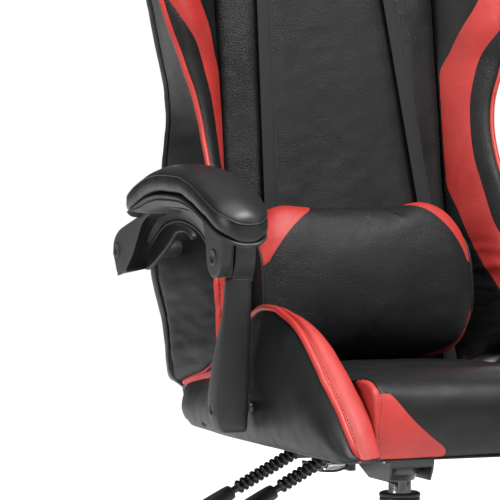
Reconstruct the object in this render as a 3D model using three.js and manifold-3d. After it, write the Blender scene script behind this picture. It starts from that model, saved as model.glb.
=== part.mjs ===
// Gaming chair on a five-leg base. Millimetres, +Z up, the sitter looks along -Y.
// Everything is drawn about the column's axis, then moved so that the origin is under the middle.
import * as THREE from "three";
import { mergeVertices } from "three/addons/utils/BufferGeometryUtils.js";
import Module from "manifold-3d";

const wasm = await Module();
wasm.setup();

// Driving dimensions
const GAP = 0.3; // between neighbours
const RUN = 0.1; // radial play of a pin in its bore
const TURN = 0.3; // radial play of a pin that turns in a bore with flats
const COLUMN_Y = -11.5; // the column stands this far from the middle of the box
const LEAN = THREE.MathUtils.degToRad(9);

const base = { legs: 5, reach: 318, hubR: 43, hubZ: [72, 132], tipTop: 92, tipBottom: 70 };
const caster = { r: 28, width: 19, trail: 22, stemR: 5.5, hoodTop: 69, bossR: 6 };
const lift = { tubeR: 25, tubeWall: 2.7, bottom: 46, top: 302, bushTop: 308, rodR: 5 };
const cylinder = { r: 14, boreR: 12.2, bottom: 72, boreTop: 300, top: 352 };
const pin = { r: 4, bottom: 334, top: 358.3, socketBottom: 326 };
const channel = { half: 29, wall: 3, top: 378.7, bottom: 323 };
const seat = { bottom: 385, front: -332, rear: 133, boardHalf: 158, boardTop: 397 };
const back = { y: 152, z: 440, cushion: 50, board: 10, shell: 92 };
const hinge = { y: 192, z: 428, x: 195, plate: 5, r: 15, pinR: 6 };
const arm = {
  front: [-130, 431], // post to seat
  top: [-150, 605], // arm to post
  rear: [172, 602], // arm to backrest
  pinR: 6,
  inner: 254,
};
const lever = { rodR: 5, sleeveR: 8.4, pitch: 9, pivotZ: 361 };
const harness = { x: 75, s: 640, w: 56, h: 42, wall: 5 };

const colours = {
  blackLeather: 0x17181a,
  redLeather: 0xcd443d,
  nylon: 0x1b1c1e,
  steel: 0x121314,
  chrome: 0xc4c6c8,
  rubber: 0x0d0d0e,
  webbing: 0x141516,
  wood: 0xb08a5a,
};

const chair = new THREE.Group();
const body = new THREE.Group();
body.position.y = COLUMN_Y;
chair.add(body);

// ---------- shapes ----------

// Turns a closed triangle mesh the right way out.
function facingOut(geometry) {
  const bare = new THREE.BufferGeometry().setAttribute("position", geometry.getAttribute("position"));
  bare.setIndex(geometry.index);
  const merged = mergeVertices(bare, 1e-4);
  const p = merged.getAttribute("position");
  const index = merged.index.array;
  const corner = [0, 1, 2].map(() => new THREE.Vector3());
  let volume = 0;
  for (let i = 0; i < index.length; i += 3) {
    corner.forEach((v, k) => v.fromBufferAttribute(p, index[i + k]));
    volume += corner[0].dot(corner[1].cross(corner[2]));
  }
  if (volume < 0)
    for (let i = 0; i < index.length; i += 3)
      [index[i + 1], index[i + 2]] = [index[i + 2], index[i + 1]];
  return merged;
}

function solid(geometry) {
  const g = facingOut(geometry);
  return new wasm.Manifold(
    new wasm.Mesh({
      numProp: 3,
      vertProperties: new Float32Array(g.getAttribute("position").array),
      triVerts: new Uint32Array(g.index.array),
    }),
  );
}

function geometryOf(made) {
  const m = made.getMesh();
  return new THREE.BufferGeometry()
    .setAttribute("position", new THREE.BufferAttribute(new Float32Array(m.vertProperties), 3))
    .setIndex(new THREE.BufferAttribute(new Uint32Array(m.triVerts), 1));
}

function add(name, made, colour) {
  const geometry = geometryOf(made);
  geometry.computeVertexNormals();
  const mesh = new THREE.Mesh(geometry, new THREE.MeshStandardMaterial({ color: colours[colour] }));
  mesh.name = name;
  body.add(mesh);
}

const join = (...parts) => parts.reduce((a, b) => a.add(b));
const cut = (made, ...tools) => tools.reduce((a, b) => a.subtract(b), made);
const mirrored = (made) => solid(geometryOf(made).scale(-1, 1, 1));
const spun = (made, angle) => solid(geometryOf(made).rotateZ(angle));
const moved = (made, x, y, z) => solid(geometryOf(made).translate(x, y, z));

// Adds a piece on the chair's left (+X) and its mirror image on the right (-X).
function addPair(name, made, colour) {
  add(name + "_left", made, colour);
  add(name + "_right", mirrored(made), colour);
}

function box(x, y, z) {
  const g = new THREE.BoxGeometry(x[1] - x[0], y[1] - y[0], z[1] - z[0]);
  return solid(g.translate((x[0] + x[1]) / 2, (y[0] + y[1]) / 2, (z[0] + z[1]) / 2));
}

// A profile of [radius, height] points turned about the Z axis.
function turned(profile, segments = 24) {
  const points = profile.map(([r, z]) => new THREE.Vector2(r, z));
  return solid(new THREE.LatheGeometry(points, segments).rotateX(Math.PI / 2));
}

const rod = (r, z0, z1, segments = 16) =>
  turned([[0, z0], [r, z0], [r, z1], [0, z1]], segments);
const ring = (inner, outer, z0, z1, segments = 24) =>
  turned([[inner, z0], [outer, z0], [outer, z1], [inner, z1], [inner, z0]], segments);

// A cylinder along X through the point (y, z).
function rodX(r, x0, x1, [y, z], segments = 16) {
  const g = geometryOf(rod(r, x0, x1, segments)).rotateY(Math.PI / 2);
  return solid(g.translate(0, y, z));
}

function outline(points) {
  return new THREE.Shape(points.map(([a, b]) => new THREE.Vector2(a, b)));
}

// A plate drawn in the side view, [y, z] points, that reaches from x0 to x1.
function sidePlate(points, x0, x1) {
  const g = new THREE.ExtrudeGeometry(outline(points), { depth: x1 - x0, bevelEnabled: false });
  const turn = new THREE.Matrix4().makeBasis(
    new THREE.Vector3(0, 1, 0),
    new THREE.Vector3(0, 0, 1),
    new THREE.Vector3(1, 0, 0),
  );
  return solid(g.applyMatrix4(turn).translate(x0, 0, 0));
}

// A skin over rings of [x, y, z] points with a flat fan on each end.
function loft(rings) {
  const n = rings[0].length;
  const middles = [rings[0], rings.at(-1)].map((r) =>
    [0, 1, 2].map((k) => r.reduce((sum, p) => sum + p[k], 0) / n),
  );
  const index = [];
  for (let i = 0; i + 1 < rings.length; i++)
    for (let j = 0; j < n; j++) {
      const a = i * n + j, b = i * n + ((j + 1) % n);
      index.push(a, b, b + n, a, b + n, a + n);
    }
  const first = rings.length * n, last = first + 1, top = first - n;
  for (let j = 0; j < n; j++) {
    const k = (j + 1) % n;
    index.push(first, k, j, last, top + j, top + k);
  }
  const points = new Float32Array([...rings.flat(), ...middles].flat());
  const g = new THREE.BufferGeometry().setAttribute("position", new THREE.BufferAttribute(points, 3));
  return solid(g.setIndex(index));
}

// A round bar along a smooth line through the points.
function bar(points, r, steps = 10, sides = 8) {
  const path = new THREE.CatmullRomCurve3(points.map((p) => new THREE.Vector3(...p)), false, "centripetal");
  const circle = outline(
    Array.from({ length: sides }, (_, i) => {
      const a = (i * 2 * Math.PI) / sides;
      return [r * Math.cos(a), r * Math.sin(a)];
    }),
  );
  return solid(new THREE.ExtrudeGeometry(circle, { steps, extrudePath: path, bevelEnabled: false }));
}

// Straight-line reading of a table of [at, value, value ...] rows.
function read(table, at, column = 1) {
  const sorted = [...table].sort((a, b) => a[0] - b[0]);
  const next = sorted.findIndex((row) => row[0] >= at);
  if (next <= 0) return next < 0 ? sorted.at(-1)[column] : sorted[0][column];
  const [lo, hi] = [sorted[next - 1], sorted[next]];
  return lo[column] + ((hi[column] - lo[column]) * (at - lo[0])) / (hi[0] - lo[0]);
}

// The rows' first numbers of several tables, within the first table's own reach.
function stations(table, ...others) {
  const ends = table.map((row) => row[0]);
  const [lo, hi] = [Math.min(...ends), Math.max(...ends)];
  const all = [table, ...others].flat().map((row) => row[0]);
  return [...new Set(all)].filter((at) => at >= lo && at <= hi).sort((a, b) => a - b);
}

// ---------- base and casters ----------

function starBase() {
  const { legs, reach, hubR, hubZ, tipTop, tipBottom } = base;
  let star = rod(hubR, ...hubZ, 30);
  for (let i = 0; i < legs; i++) {
    const stations = [
      [20, 30, hubZ[0], hubZ[1] - 4],
      [90, 24, hubZ[0] + 3, hubZ[1] - 12],
      [200, 19, tipBottom + 8, tipTop + 12],
      [reach - 12, 15, tipBottom, tipTop],
    ];
    const leg = loft(
      stations.map(([y, half, low, high]) => [
        [-half, y, low], [half, y, low], [half * 0.8, y, high - 6],
        [half * 0.45, y, high], [-half * 0.45, y, high], [-half * 0.8, y, high - 6],
      ]),
    );
    const boss = moved(rod(17, tipBottom, tipTop + 2, 16), 0, reach, 0);
    star = join(star, spun(join(leg, boss), (i * 2 * Math.PI) / legs));
  }
  const sockets = Array.from({ length: legs }, (_, i) =>
    spun(
      moved(rod(caster.stemR + GAP, tipBottom - 5, tipTop - 8, 12), 0, reach, 0),
      (i * 2 * Math.PI) / legs,
    ),
  );
  return cut(star, rod(lift.tubeR + GAP, 0, 200, 28), ...sockets);
}

// The wheel pair's hood, its stem in the leg and the axle, with the leg at +Y.
function casterHood() {
  const { r, width, trail, stemR, hoodTop, bossR } = caster;
  const gap = 6;
  const centre = [base.reach + trail, r];
  const arch = Array.from({ length: 9 }, (_, i) => {
    const a = Math.PI * (-0.02 + (i * 1.04) / 8);
    return [centre[0] + (r + 6) * Math.cos(a), centre[1] + (r + 6) * Math.sin(a)];
  });
  const shell = sidePlate(arch, -width - gap, width + gap);
  const room = rodX(r + 2, gap, width + gap + 5, centre, 20);
  const stem = moved(rod(stemR, hoodTop - 12, base.tipTop - 9, 12), 0, base.reach, 0);
  const block = moved(rod(12, hoodTop - 18, hoodTop - 0.5, 12), 0, base.reach, 0);
  const web = sidePlate(
    [[base.reach - 8, hoodTop - 18], [base.reach - 8, hoodTop - 6], [base.reach + 20, hoodTop - 2],
      [base.reach + 20, hoodTop - 24]],
    -gap + 1, gap - 1,
  );
  const axle = rodX(bossR, -width - gap + 1, width + gap - 1, centre, 16);
  const open = cut(join(shell, block, web), room, mirrored(room));
  return join(open, axle, stem);
}

function casterWheel() {
  const { r, width, bossR } = caster;
  const profile = [
    [bossR + RUN, -width + 3], [r - 3, -width], [r, -width + 4], [r, -3], [r - 3, 0],
    [bossR + RUN, 0], [bossR + RUN, -width + 3],
  ];
  const g = geometryOf(turned(profile, 20)).rotateY(-Math.PI / 2);
  return solid(g.translate(6.6, base.reach + caster.trail, r));
}

function addBase() {
  add("star_base", starBase(), "nylon");
  const wall = lift.tubeR - lift.tubeWall;
  const { tubeR, bottom, top, bushTop } = lift;
  add("gas_tube", turned([
    [0, bottom], [tubeR, bottom], [tubeR, top - GAP], [wall, top - GAP], [wall, bottom + 4],
    [0, bottom + 4],
  ], 28), "steel");
  const slide = cylinder.r + RUN;
  add("tube_bush", turned([
    [slide, 236], [wall - GAP, 236], [wall - GAP, top], [tubeR, top], [tubeR, bushTop - 3],
    [tubeR - 3, bushTop], [slide, bushTop], [slide, 236],
  ], 28), "nylon");
  const foot = rod(15, bottom + 4 + GAP, 58);
  add("piston_rod", join(foot, rod(lift.rodR, 57, 270), rod(11.7, 262, 278)), "chrome");
  for (let i = 0; i < base.legs; i++) {
    const angle = (i * 2 * Math.PI) / base.legs;
    add(`caster_hood_${i + 1}`, spun(casterHood(), angle), "nylon");
    add(`caster_wheel_${i + 1}_a`, spun(casterWheel(), angle), "nylon");
    add(`caster_wheel_${i + 1}_b`, spun(mirrored(casterWheel()), angle), "nylon");
  }
}

// ---------- lift head, mechanism and levers ----------

function mechanismChannel() {
  const { half, wall, top, bottom } = channel;
  const flank = (d) => [
    [-36 + d, top + d * 5], [-36 + d, 336], [-28 + d, bottom + d], [28, bottom + d],
    [70, 341 + d], [150 - d, 360 + d], [150 - d, top + d * 5],
  ];
  const shell = cut(
    sidePlate(flank(0), -half, half),
    sidePlate(flank(wall), -half + wall, half - wall),
  );
  const leverHole = rodX(lever.rodR + 2, -half - 5, -half + 5, [0, lever.pivotZ]);
  return cut(shell, rod(24 + GAP, 300, 340, 32), leverHole);
}

function addMechanism() {
  const { r, boreR, bottom, boreTop, top } = cylinder;
  add("gas_cylinder", turned([
    [boreR, bottom], [r, bottom], [r, top], [pin.r + RUN, top], [pin.r + RUN, pin.socketBottom],
    [0, pin.socketBottom], [0, boreTop], [boreR, boreTop], [boreR, bottom],
  ]), "chrome");
  add("column_socket", ring(r + GAP, 24, 322.4, 350), "steel");
  add("release_pin", rod(pin.r, pin.bottom, pin.top), "chrome");
  add("mechanism_channel", mechanismChannel(), "steel");
  add("seat_plate", box([-112, 112], [-120, 135], [channel.top + GAP, seat.bottom - GAP]), "steel");
  const legs = cut(
    box([-112, -74], [58, 92], [348, channel.top]),
    box([-120, -70], [64, 86], [340, 371]),
  );
  add("lever_bracket", legs, "steel");
}

// Bent rod, ribbed sleeve and flat paddle of a lever that runs out under the seat's right side.
function leverParts(y, start, elbow, tip) {
  const slope = Math.atan2(elbow[1] - tip[1], elbow[0] - tip[0]);
  const along = (d) => [elbow[0] - d * Math.cos(slope), y, elbow[1] - d * Math.sin(slope)];
  const sleeveLength = Math.hypot(elbow[0] - tip[0], elbow[1] - tip[1]);
  const place = (made, d) =>
    solid(geometryOf(made).rotateY(-Math.PI / 2 - slope).translate(...along(d)));
  const bend = bar(
    [[start, y, lever.pivotZ], [elbow[0] + 14, y, lever.pivotZ], along(8)], lever.rodR,
  );
  const rodBody = join(bend, place(rod(lever.rodR, 0, sleeveLength + 34), 6));
  const ribs = Math.floor(sleeveLength / lever.pitch);
  const profile = [[lever.rodR + GAP, 0]];
  for (let i = 0; i < ribs; i++)
    profile.push([lever.sleeveR - 2, i * lever.pitch], [lever.sleeveR, (i + 0.5) * lever.pitch]);
  const end = ribs * lever.pitch;
  profile.push([lever.sleeveR - 2, end], [lever.rodR + GAP, end], [lever.rodR + GAP, 0]);
  const sleeve = place(turned(profile, 10), 10);
  const stations = [[0, 8, 8], [12, 12, 8.5], [38, 19, 7.5], [70, 21, 6.5], [92, 19, 6], [100, 12, 4]];
  const blade = loft(
    stations.map(([z, half, thick]) => [
      [-thick, -half, z], [thick, -half, z], [thick + 1.5, 0, z], [thick, half, z], [-thick, half, z],
      [-thick, 0, z],
    ]),
  );
  const paddle = place(cut(blade, rod(lever.rodR + GAP, -5, 40, 16)), sleeveLength + 10 + 2);
  return { rodBody, sleeve, paddle };
}

function addLevers() {
  const front = leverParts(0, -channel.half - 1, [-84, lever.pivotZ], [-165, 317]);
  const tongue = box([-25, 4], [-5, 5], [pin.top + GAP, pin.top + 4]);
  const shank = rodX(lever.rodR - 1, -40, -22, [0, lever.pivotZ]);
  add("lift_lever_rod", join(front.rodBody, shank, tongue), "steel");
  add("lift_lever_sleeve", front.sleeve, "rubber");
  add("lift_lever_paddle", front.paddle, "nylon");
  const rear = leverParts(75, -78, [-96, lever.pivotZ - 4], [-193, 304]);
  add("recline_lever_rod", rear.rodBody, "steel");
  add("recline_lever_sleeve", rear.sleeve, "rubber");
  add("recline_lever_paddle", rear.paddle, "nylon");
}

// ---------- seat ----------

// Side view: top of the centre cushion, and top of the side bolster with its outer half width.
const cushionTop = [
  [-332, 446], [-327, 460], [-316, 468], [-290, 472], [-200, 469], [-60, 464], [60, 464],
  [120, 455], [133, 442],
];
const bolsterTop = [
  [141, 424, 226], [132, 434, 232], [100, 446, 237], [55, 452, 241], [10, 468, 245],
  [-40, 500, 247], [-90, 535, 247], [-133, 547, 247], [-155, 547, 246], [-180, 541, 245],
  [-206, 530, 244], [-226, 518, 243], [-253, 500, 242], [-280, 478, 240], [-306, 453, 238],
  [-331, 427, 235], [-348, 404, 229], [-351, 400, 226],
];
const seatSeam = [[-351, 186], [-330, 183], [-300, 178], [-200, 171], [-60, 166], [141, 164]];

function seatCushion() {
  const rows = stations(cushionTop, seatSeam).map((y) => {
    const z = read(cushionTop, y);
    const half = read(seatSeam, y) - GAP;
    return [
      [-half, y, seat.bottom], [half, y, seat.bottom], [half, y, z - 5], [half - 12, y, z],
      [0, y, z], [-half + 12, y, z], [-half, y, z - 5],
    ];
  });
  const pocket = box(
    [-seat.boardHalf - GAP, seat.boardHalf + GAP], [-300 - GAP, 110 + GAP], [380, seat.boardTop + GAP],
  );
  return cut(loft(rows), pocket);
}

function bolster() {
  const rows = stations(bolsterTop, seatSeam).map((y) => {
    const z = read(bolsterTop, y);
    const outer = read(bolsterTop, y, 2);
    const inner = read(seatSeam, y) + GAP;
    const low = seat.bottom + (y > 100 ? (y - 100) * 0.7 : 0);
    const seam = Math.max(low + 4, Math.min(read(cushionTop, y) - 2, z - 6));
    const mid = Math.max(low + 6, z - 40);
    const wide = outer - inner;
    return [
      [inner, y, low], [outer - Math.min(14, wide * 0.3), y, low],
      [outer - 5, y, low + (mid - low) * 0.3],
      [outer, y, mid], [outer - 3, y, z - 8], [outer - Math.min(14, wide * 0.3), y, z],
      [outer - Math.min(26, wide * 0.55), y, z - 1],
      [outer - Math.min(38, wide * 0.8), y, Math.max(seam + 0.5, z - 12)], [inner, y, seam],
    ];
  });
  const [y, z] = arm.front;
  return cut(loft(rows), rodX(21, 217, 260, [y, z], 20));
}

// Under the bolster, then up to the hinge behind the seat.
function seatBracket() {
  const { x, y, z, plate, r } = { ...hinge };
  const flank = sidePlate(
    [[10, 384.5], [10, 379], [118, 379], [170, 392], [y + 9, z - 12], [y + 2, z + 2], [y - 13, z + 3],
      [140, 396], [128, 384.5]],
    x, x + plate,
  );
  const flange = box([160, x + 1], [14, 112], [seat.bottom - 4.8, seat.bottom - GAP]);
  const eye = rodX(r, x, x + plate, [y, z]);
  return join(flank, flange, eye, rodX(hinge.pinR, x + 1, x + 2 * plate + 1, [y, z]));
}

function addSeat() {
  add("seat_board", box(
    [-seat.boardHalf, seat.boardHalf], [-300, 110], [seat.bottom, seat.boardTop],
  ), "wood");
  add("seat_cushion", seatCushion(), "blackLeather");
  addPair("seat_bolster", bolster(), "blackLeather");
  addPair("seat_bracket", seatBracket(), "steel");
  addPair("arm_front_mount", armMount(arm.front, 218, 20, 291), "steel");
}

// A boss set in the upholstery from x0, with the pin the arm part turns on.
function armMount(centre, x0, r, end) {
  return join(rodX(r, x0, arm.inner - GAP, centre, 20), rodX(arm.pinR, x0, end, centre));
}

// ---------- backrest ----------

// A point x across, s up and t behind the face of the backrest.
function onBack(x, s, t) {
  return [
    x,
    back.y + s * Math.sin(LEAN) + t * Math.cos(LEAN),
    back.z + s * Math.cos(LEAN) - t * Math.sin(LEAN),
  ];
}

// Height up the back, half width, how far the wing stands forward.
const backOutline = [
  [-8, 198, -20], [4, 212, 18], [24, 222, 48], [60, 230, 74], [120, 237, 88], [165, 235, 84],
  [215, 227, 74], [270, 217, 60], [335, 212, 48], [395, 224, 46], [475, 248, 50], [530, 262, 54],
  [575, 268, 54], [615, 262, 50], [650, 243, 42], [690, 212, 30], [735, 190, 22], [770, 172, 14],
  [790, 150, 4], [800, 122, -14],
];
const backSeam = [[-8, 152], [600, 152], [700, 130], [790, 112], [800, 96]];

// A prism drawn in the face of the backrest, [x, s] points, from depth t0 to t1.
function backPrism(points, t0, t1) {
  const g = new THREE.ExtrudeGeometry(outline(points), { depth: t1 - t0, bevelEnabled: false });
  const turn = new THREE.Matrix4().makeBasis(
    new THREE.Vector3(1, 0, 0),
    new THREE.Vector3(0, Math.sin(LEAN), Math.cos(LEAN)),
    new THREE.Vector3(0, -Math.cos(LEAN), Math.sin(LEAN)),
  );
  return solid(g.applyMatrix4(turn).translate(...onBack(0, 0, t1)));
}

function roundedSlot(x, s, w, h, r) {
  const points = [];
  for (const [cx, cs, start] of [[1, 1, 0], [-1, 1, 1], [-1, -1, 2], [1, -1, 3]])
    for (let i = 0; i <= 3; i++) {
      const a = (start + i / 3) * (Math.PI / 2);
      points.push([
        x + cx * (w / 2 - r) + r * Math.cos(a),
        s + cs * (h / 2 - r) + r * Math.sin(a),
      ]);
    }
  return points;
}

function harnessHole(side) {
  const [x, w, h] = [side * harness.x, harness.w / 2 + GAP, harness.h / 2 + GAP];
  const corners = [[1, 1], [-1, 1], [-1, -1], [1, -1]];
  return backPrism(corners.map(([i, j]) => [x + i * w, harness.s + j * h]), -90, 150);
}
const harnessHoles = [harnessHole(1), harnessHole(-1)];

function hingePocket(side) {
  const low = rodX(hinge.r + 6, hinge.x - 4, hinge.x + 3 * hinge.plate, [hinge.y, hinge.z], 24);
  const arm2 = backBracket(GAP);
  return side > 0 ? join(low, arm2) : mirrored(join(low, arm2));
}

function backBracket(spare) {
  const x0 = hinge.x + hinge.plate + 1;
  const [, y1, z1] = onBack(0, 150, back.cushion + 2);
  const s = spare;
  const flank = sidePlate(
    [[hinge.y - 11 - s, hinge.z - 4], [hinge.y + 13 + s, hinge.z - 4], [y1 + 14 + s, z1 + s],
      [y1 - 12 - s, z1 + s]],
    x0 - s, x0 + hinge.plate + s,
  );
  const eye = rodX(hinge.r + s, x0 - s, x0 + hinge.plate + s, [hinge.y, hinge.z]);
  const made = join(flank, eye);
  if (spare) return made;
  return cut(made, rodX(hinge.pinR + TURN, x0 - 5, x0 + 20, [hinge.y, hinge.z]));
}

function backCushion() {
  const rows = backOutline.map(([s]) => {
    const half = read(backSeam, s) - GAP;
    const edge = Math.max(0, 14 - Math.min(s + 8, 800 - s)) * 1.4;
    return [
      onBack(-half, s, 4 + edge), onBack(-half + 14, s, edge), onBack(half - 14, s, edge),
      onBack(half, s, 4 + edge), onBack(half, s, back.cushion), onBack(-half, s, back.cushion),
    ];
  });
  return cut(loft(rows), ...harnessHoles);
}

function wing() {
  const rows = backOutline.map(([s, outer, stand]) => {
    const inner = read(backSeam, s) + GAP;
    const wide = outer - inner;
    const front = Math.min(6, -stand * 0.1 + 4);
    return [
      onBack(inner, s, back.cushion), onBack(inner, s, Math.max(front, -stand * 0.3)),
      onBack(inner + wide * 0.18, s, -stand * 0.18), onBack(inner + wide * 0.55, s, -stand * 0.78),
      onBack(outer - wide * 0.16, s, -stand), onBack(outer - 3, s, -stand + 9),
      onBack(outer, s, -stand + 26), onBack(outer, s, back.cushion),
    ];
  });
  const socket = rodX(19, 205, 260, arm.rear, 20);
  return cut(loft(rows), hingePocket(1), socket);
}

function backBoard(spare) {
  const inset = backOutline.filter(([s]) => s > 20 && s < 780);
  const up = (s) => (s < 400 ? s - spare : s + spare);
  const left = inset.map(([s, outer]) => [-outer + 32 - spare, up(s)]);
  const right = inset.map(([s, outer]) => [outer - 32 + spare, up(s)]).reverse();
  const t = back.cushion + GAP;
  const slab = backPrism([...right, ...left], spare ? t - 2 : t, t + back.board + spare);
  return spare ? slab : cut(slab, ...harnessHoles, hingePocket(1), hingePocket(-1));
}

function backShell() {
  const t0 = back.cushion + GAP;
  const rows = backOutline.map(([s, outer]) => {
    const edge = Math.min(s + 8, 800 - s);
    const t1 = back.shell - Math.max(0, 20 - edge);
    return [
      onBack(-outer, s, t0), onBack(outer, s, t0), onBack(outer - 2, s, (t0 + t1) / 2),
      onBack(outer - 18, s, t1 - 3), onBack(outer - 45, s, t1), onBack(-outer + 45, s, t1),
      onBack(-outer + 18, s, t1 - 3), onBack(-outer + 2, s, (t0 + t1) / 2),
    ];
  });
  return cut(loft(rows), backBoard(2 * GAP), ...harnessHoles, hingePocket(1), hingePocket(-1));
}

function harnessTrim() {
  const { x, s, w, h, wall } = harness;
  const tube = backPrism(roundedSlot(x, s, w, h, 14), -1, back.shell + 2);
  const flange = backPrism(roundedSlot(x, s, w + 14, h + 14, 20), -5, -GAP);
  const hole = backPrism(roundedSlot(x, s, w - 2 * wall, h - 2 * wall, 9), -9, back.shell + 9);
  return cut(join(tube, flange), hole);
}

// An elastic band through the harness hole, down the back and up under the cushion.
function strap(topX, bottomX) {
  const thick = 1.4, front = -7.5, rear = back.shell + 3.5, low = -14;
  const high = harness.s - harness.h / 2 + harness.wall + GAP + thick;
  const loop = (d) => [
    [low - d, front - d], [low - d, rear + d], [high + d, rear + d], [high + d, front - d],
  ];
  const sheet = (d, x0, x1) =>
    loft([x0, x1].map((x) => loop(d).map(([s, t]) => onBack(x, s, t))));
  const band = cut(sheet(0, -9, 9), sheet(-thick, -20, 20));
  const g = geometryOf(band);
  const p = g.getAttribute("position");
  const [, , z0] = onBack(0, low, 0);
  const [, , z1] = onBack(0, high, 0);
  for (let i = 0; i < p.count; i++) {
    const f = (p.getZ(i) - z0) / (z1 - z0);
    p.setX(i, p.getX(i) + bottomX + (topX - bottomX) * f);
  }
  return solid(g);
}

// A pillow that lies on the backrest: across x, up s, and its depth in front of the face.
function pillow(cx, cs, halfX, halfS, depth, clear) {
  const rows = [-1, -0.97, -0.85, -0.6, 0, 0.6, 0.85, 0.97, 1].map((f) => {
    const full = Math.sqrt(1 - Math.pow(Math.abs(f), 5) * 0.88);
    return Array.from({ length: 16 }, (_, i) => {
      const a = (i * Math.PI) / 8;
      const round = (v) => Math.sign(v) * Math.pow(Math.abs(v), 0.72);
      return onBack(
        cx + f * halfX,
        cs + round(Math.sin(a)) * halfS * full,
        -clear - depth / 2 + round(Math.cos(a)) * (depth / 2) * full,
      );
    });
  });
  return loft(rows);
}

function addBack() {
  add("back_cushion", backCushion(), "blackLeather");
  addPair("back_wing", wing(), "blackLeather");
  add("back_board", backBoard(0), "wood");
  add("back_shell", backShell(), "blackLeather");
  addPair("back_bracket", backBracket(0), "steel");
  addPair("arm_rear_mount", armMount(arm.rear, 206, 18, 288), "steel");
  addPair("harness_trim", harnessTrim(), "nylon");
  add("strap_left", strap(74, 124), "webbing");
  add("strap_right", strap(-78, -98), "webbing");
  add("lumbar_pillow", pillow(8, 111, 146, 97, 102, 9), "blackLeather");
  add("head_pillow", pillow(0, 730, 128, 62, 74, 9), "blackLeather");
}

// ---------- arms ----------

// Side view along the pad: top seam of its outer edge, inner and outer edge.
const padLine = [
  [90, 656, 274, 314], [85, 664, 267, 322], [67, 672, 263, 327], [40, 682, 261, 328],
  [1, 692, 261, 328], [-40, 696, 261, 328], [-64, 696, 261, 328], [-100, 695, 261, 328],
  [-130, 690, 261, 328], [-170, 676, 261, 328], [-197, 664, 263, 327], [-218, 654, 268, 324],
  [-232, 647, 276, 316], [-238, 642, 284, 306],
];
const padThick = 26, bandThick = 13;

function armPad() {
  return loft(
    padLine.map(([y, z, inner, outer]) => {
      const w = outer - inner, low = z - padThick;
      return [
        [inner + 5, y, low], [outer - 5, y, low], [outer, y, low + 7], [outer, y, z],
        [outer - w * 0.12, y, z + 7], [outer - w * 0.35, y, z + 13], [inner + w * 0.35, y, z + 13],
        [inner + w * 0.12, y, z + 7], [inner, y, z], [inner, y, low + 7],
      ];
    }),
  );
}

function armBody() {
  const band = loft(
    padLine.map(([y, z, inner, outer]) => {
      const top = z - padThick - GAP;
      return [
        [inner + 4, y, top], [outer - 4, y, top], [outer - 5, y, top - bandThick + 4],
        [outer - 9, y, top - bandThick], [inner + 9, y, top - bandThick],
        [inner + 5, y, top - bandThick + 4],
      ];
    }),
  );
  const padRoom = loft(
    padLine.map(([y, z]) => {
      const low = z - padThick - GAP;
      return [[240, y, low], [340, y, low], [340, y, low + 60], [240, y, low + 60]];
    }),
  );
  const [ry, rz] = arm.rear;
  const rearLug = sidePlate(
    [[20, 658], [80, 638], [100, 632], [150, 628], [ry + 2, rz + 22], [ry + 15, rz + 10],
      [ry + 14, rz - 12], [ry + 6, rz - 26], [ry - 12, rz - 30], [118, 583], [82, 602], [48, 628],
      [14, 646], [-20, 652]],
    262, 306,
  );
  const [fy, fz] = arm.top;
  const cheekX = [arm.inner + 22, 303];
  const cheek = join(
    rodX(24, ...cheekX, [fy, fz], 20),
    sidePlate([[fy - 23, fz + 2], [fy - 30, 652], [fy + 45, 656], [fy + 24, fz + 4]], ...cheekX),
  );
  const stud = rodX(arm.pinR, arm.inner + 3, 290, [fy, fz]);
  const lugs = cut(join(rearLug, cheek), padRoom);
  return cut(join(band, lugs, stud), rodX(arm.pinR + TURN, 255, 292, arm.rear));
}

// Height, inner and outer face, front and rear edge of the post.
const postLine = [
  [404, 260, 286, -135, -117], [410, 255, 291, -140, -112], [431, 254, 294, -143, -108],
  [470, 254, 295, -146, -110], [520, 254, 289, -150, -115], [555, 254, 283, -152, -120],
  [579, 254, 280, -153, -125], [600, 254, 280, -153, -128],
];

function post() {
  const column = loft(
    postLine.map(([z, inner, outer, front, rear]) => [
      [inner, front + 3, z], [inner + 3, front, z], [outer - 8, front, z], [outer, front + 8, z],
      [outer, rear - 8, z], [outer - 8, rear, z], [inner + 3, rear, z], [inner, rear - 3, z],
    ]),
  );
  const lip = box([240, 310], [-200, -90], [579.5, 700]);
  const tongue = rodX(18, arm.inner, arm.inner + 21, arm.top, 20);
  const neck = box([arm.inner, arm.inner + 21], [-153, arm.top[0] + 17], [575, arm.top[1]]);
  const bore = (centre) => rodX(arm.pinR + TURN, 240, 320, centre);
  return cut(join(cut(column, lip), tongue, neck), bore(arm.front), bore(arm.top));
}

function addArms() {
  addPair("arm_post", post(), "nylon");
  addPair("arm_body", armBody(), "nylon");
  addPair("arm_pad", armPad(), "blackLeather");
}

addBase();
addMechanism();
addLevers();
addSeat();
addBack();
addArms();

export default chair;
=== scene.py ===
"""Racing-style gaming chair. Lengths in the tables are millimetres about the column's axis."""
import math
from bisect import bisect

import bmesh
import bpy
from mathutils import Matrix, Vector, noise
from mathutils.bvhtree import BVHTree


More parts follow.
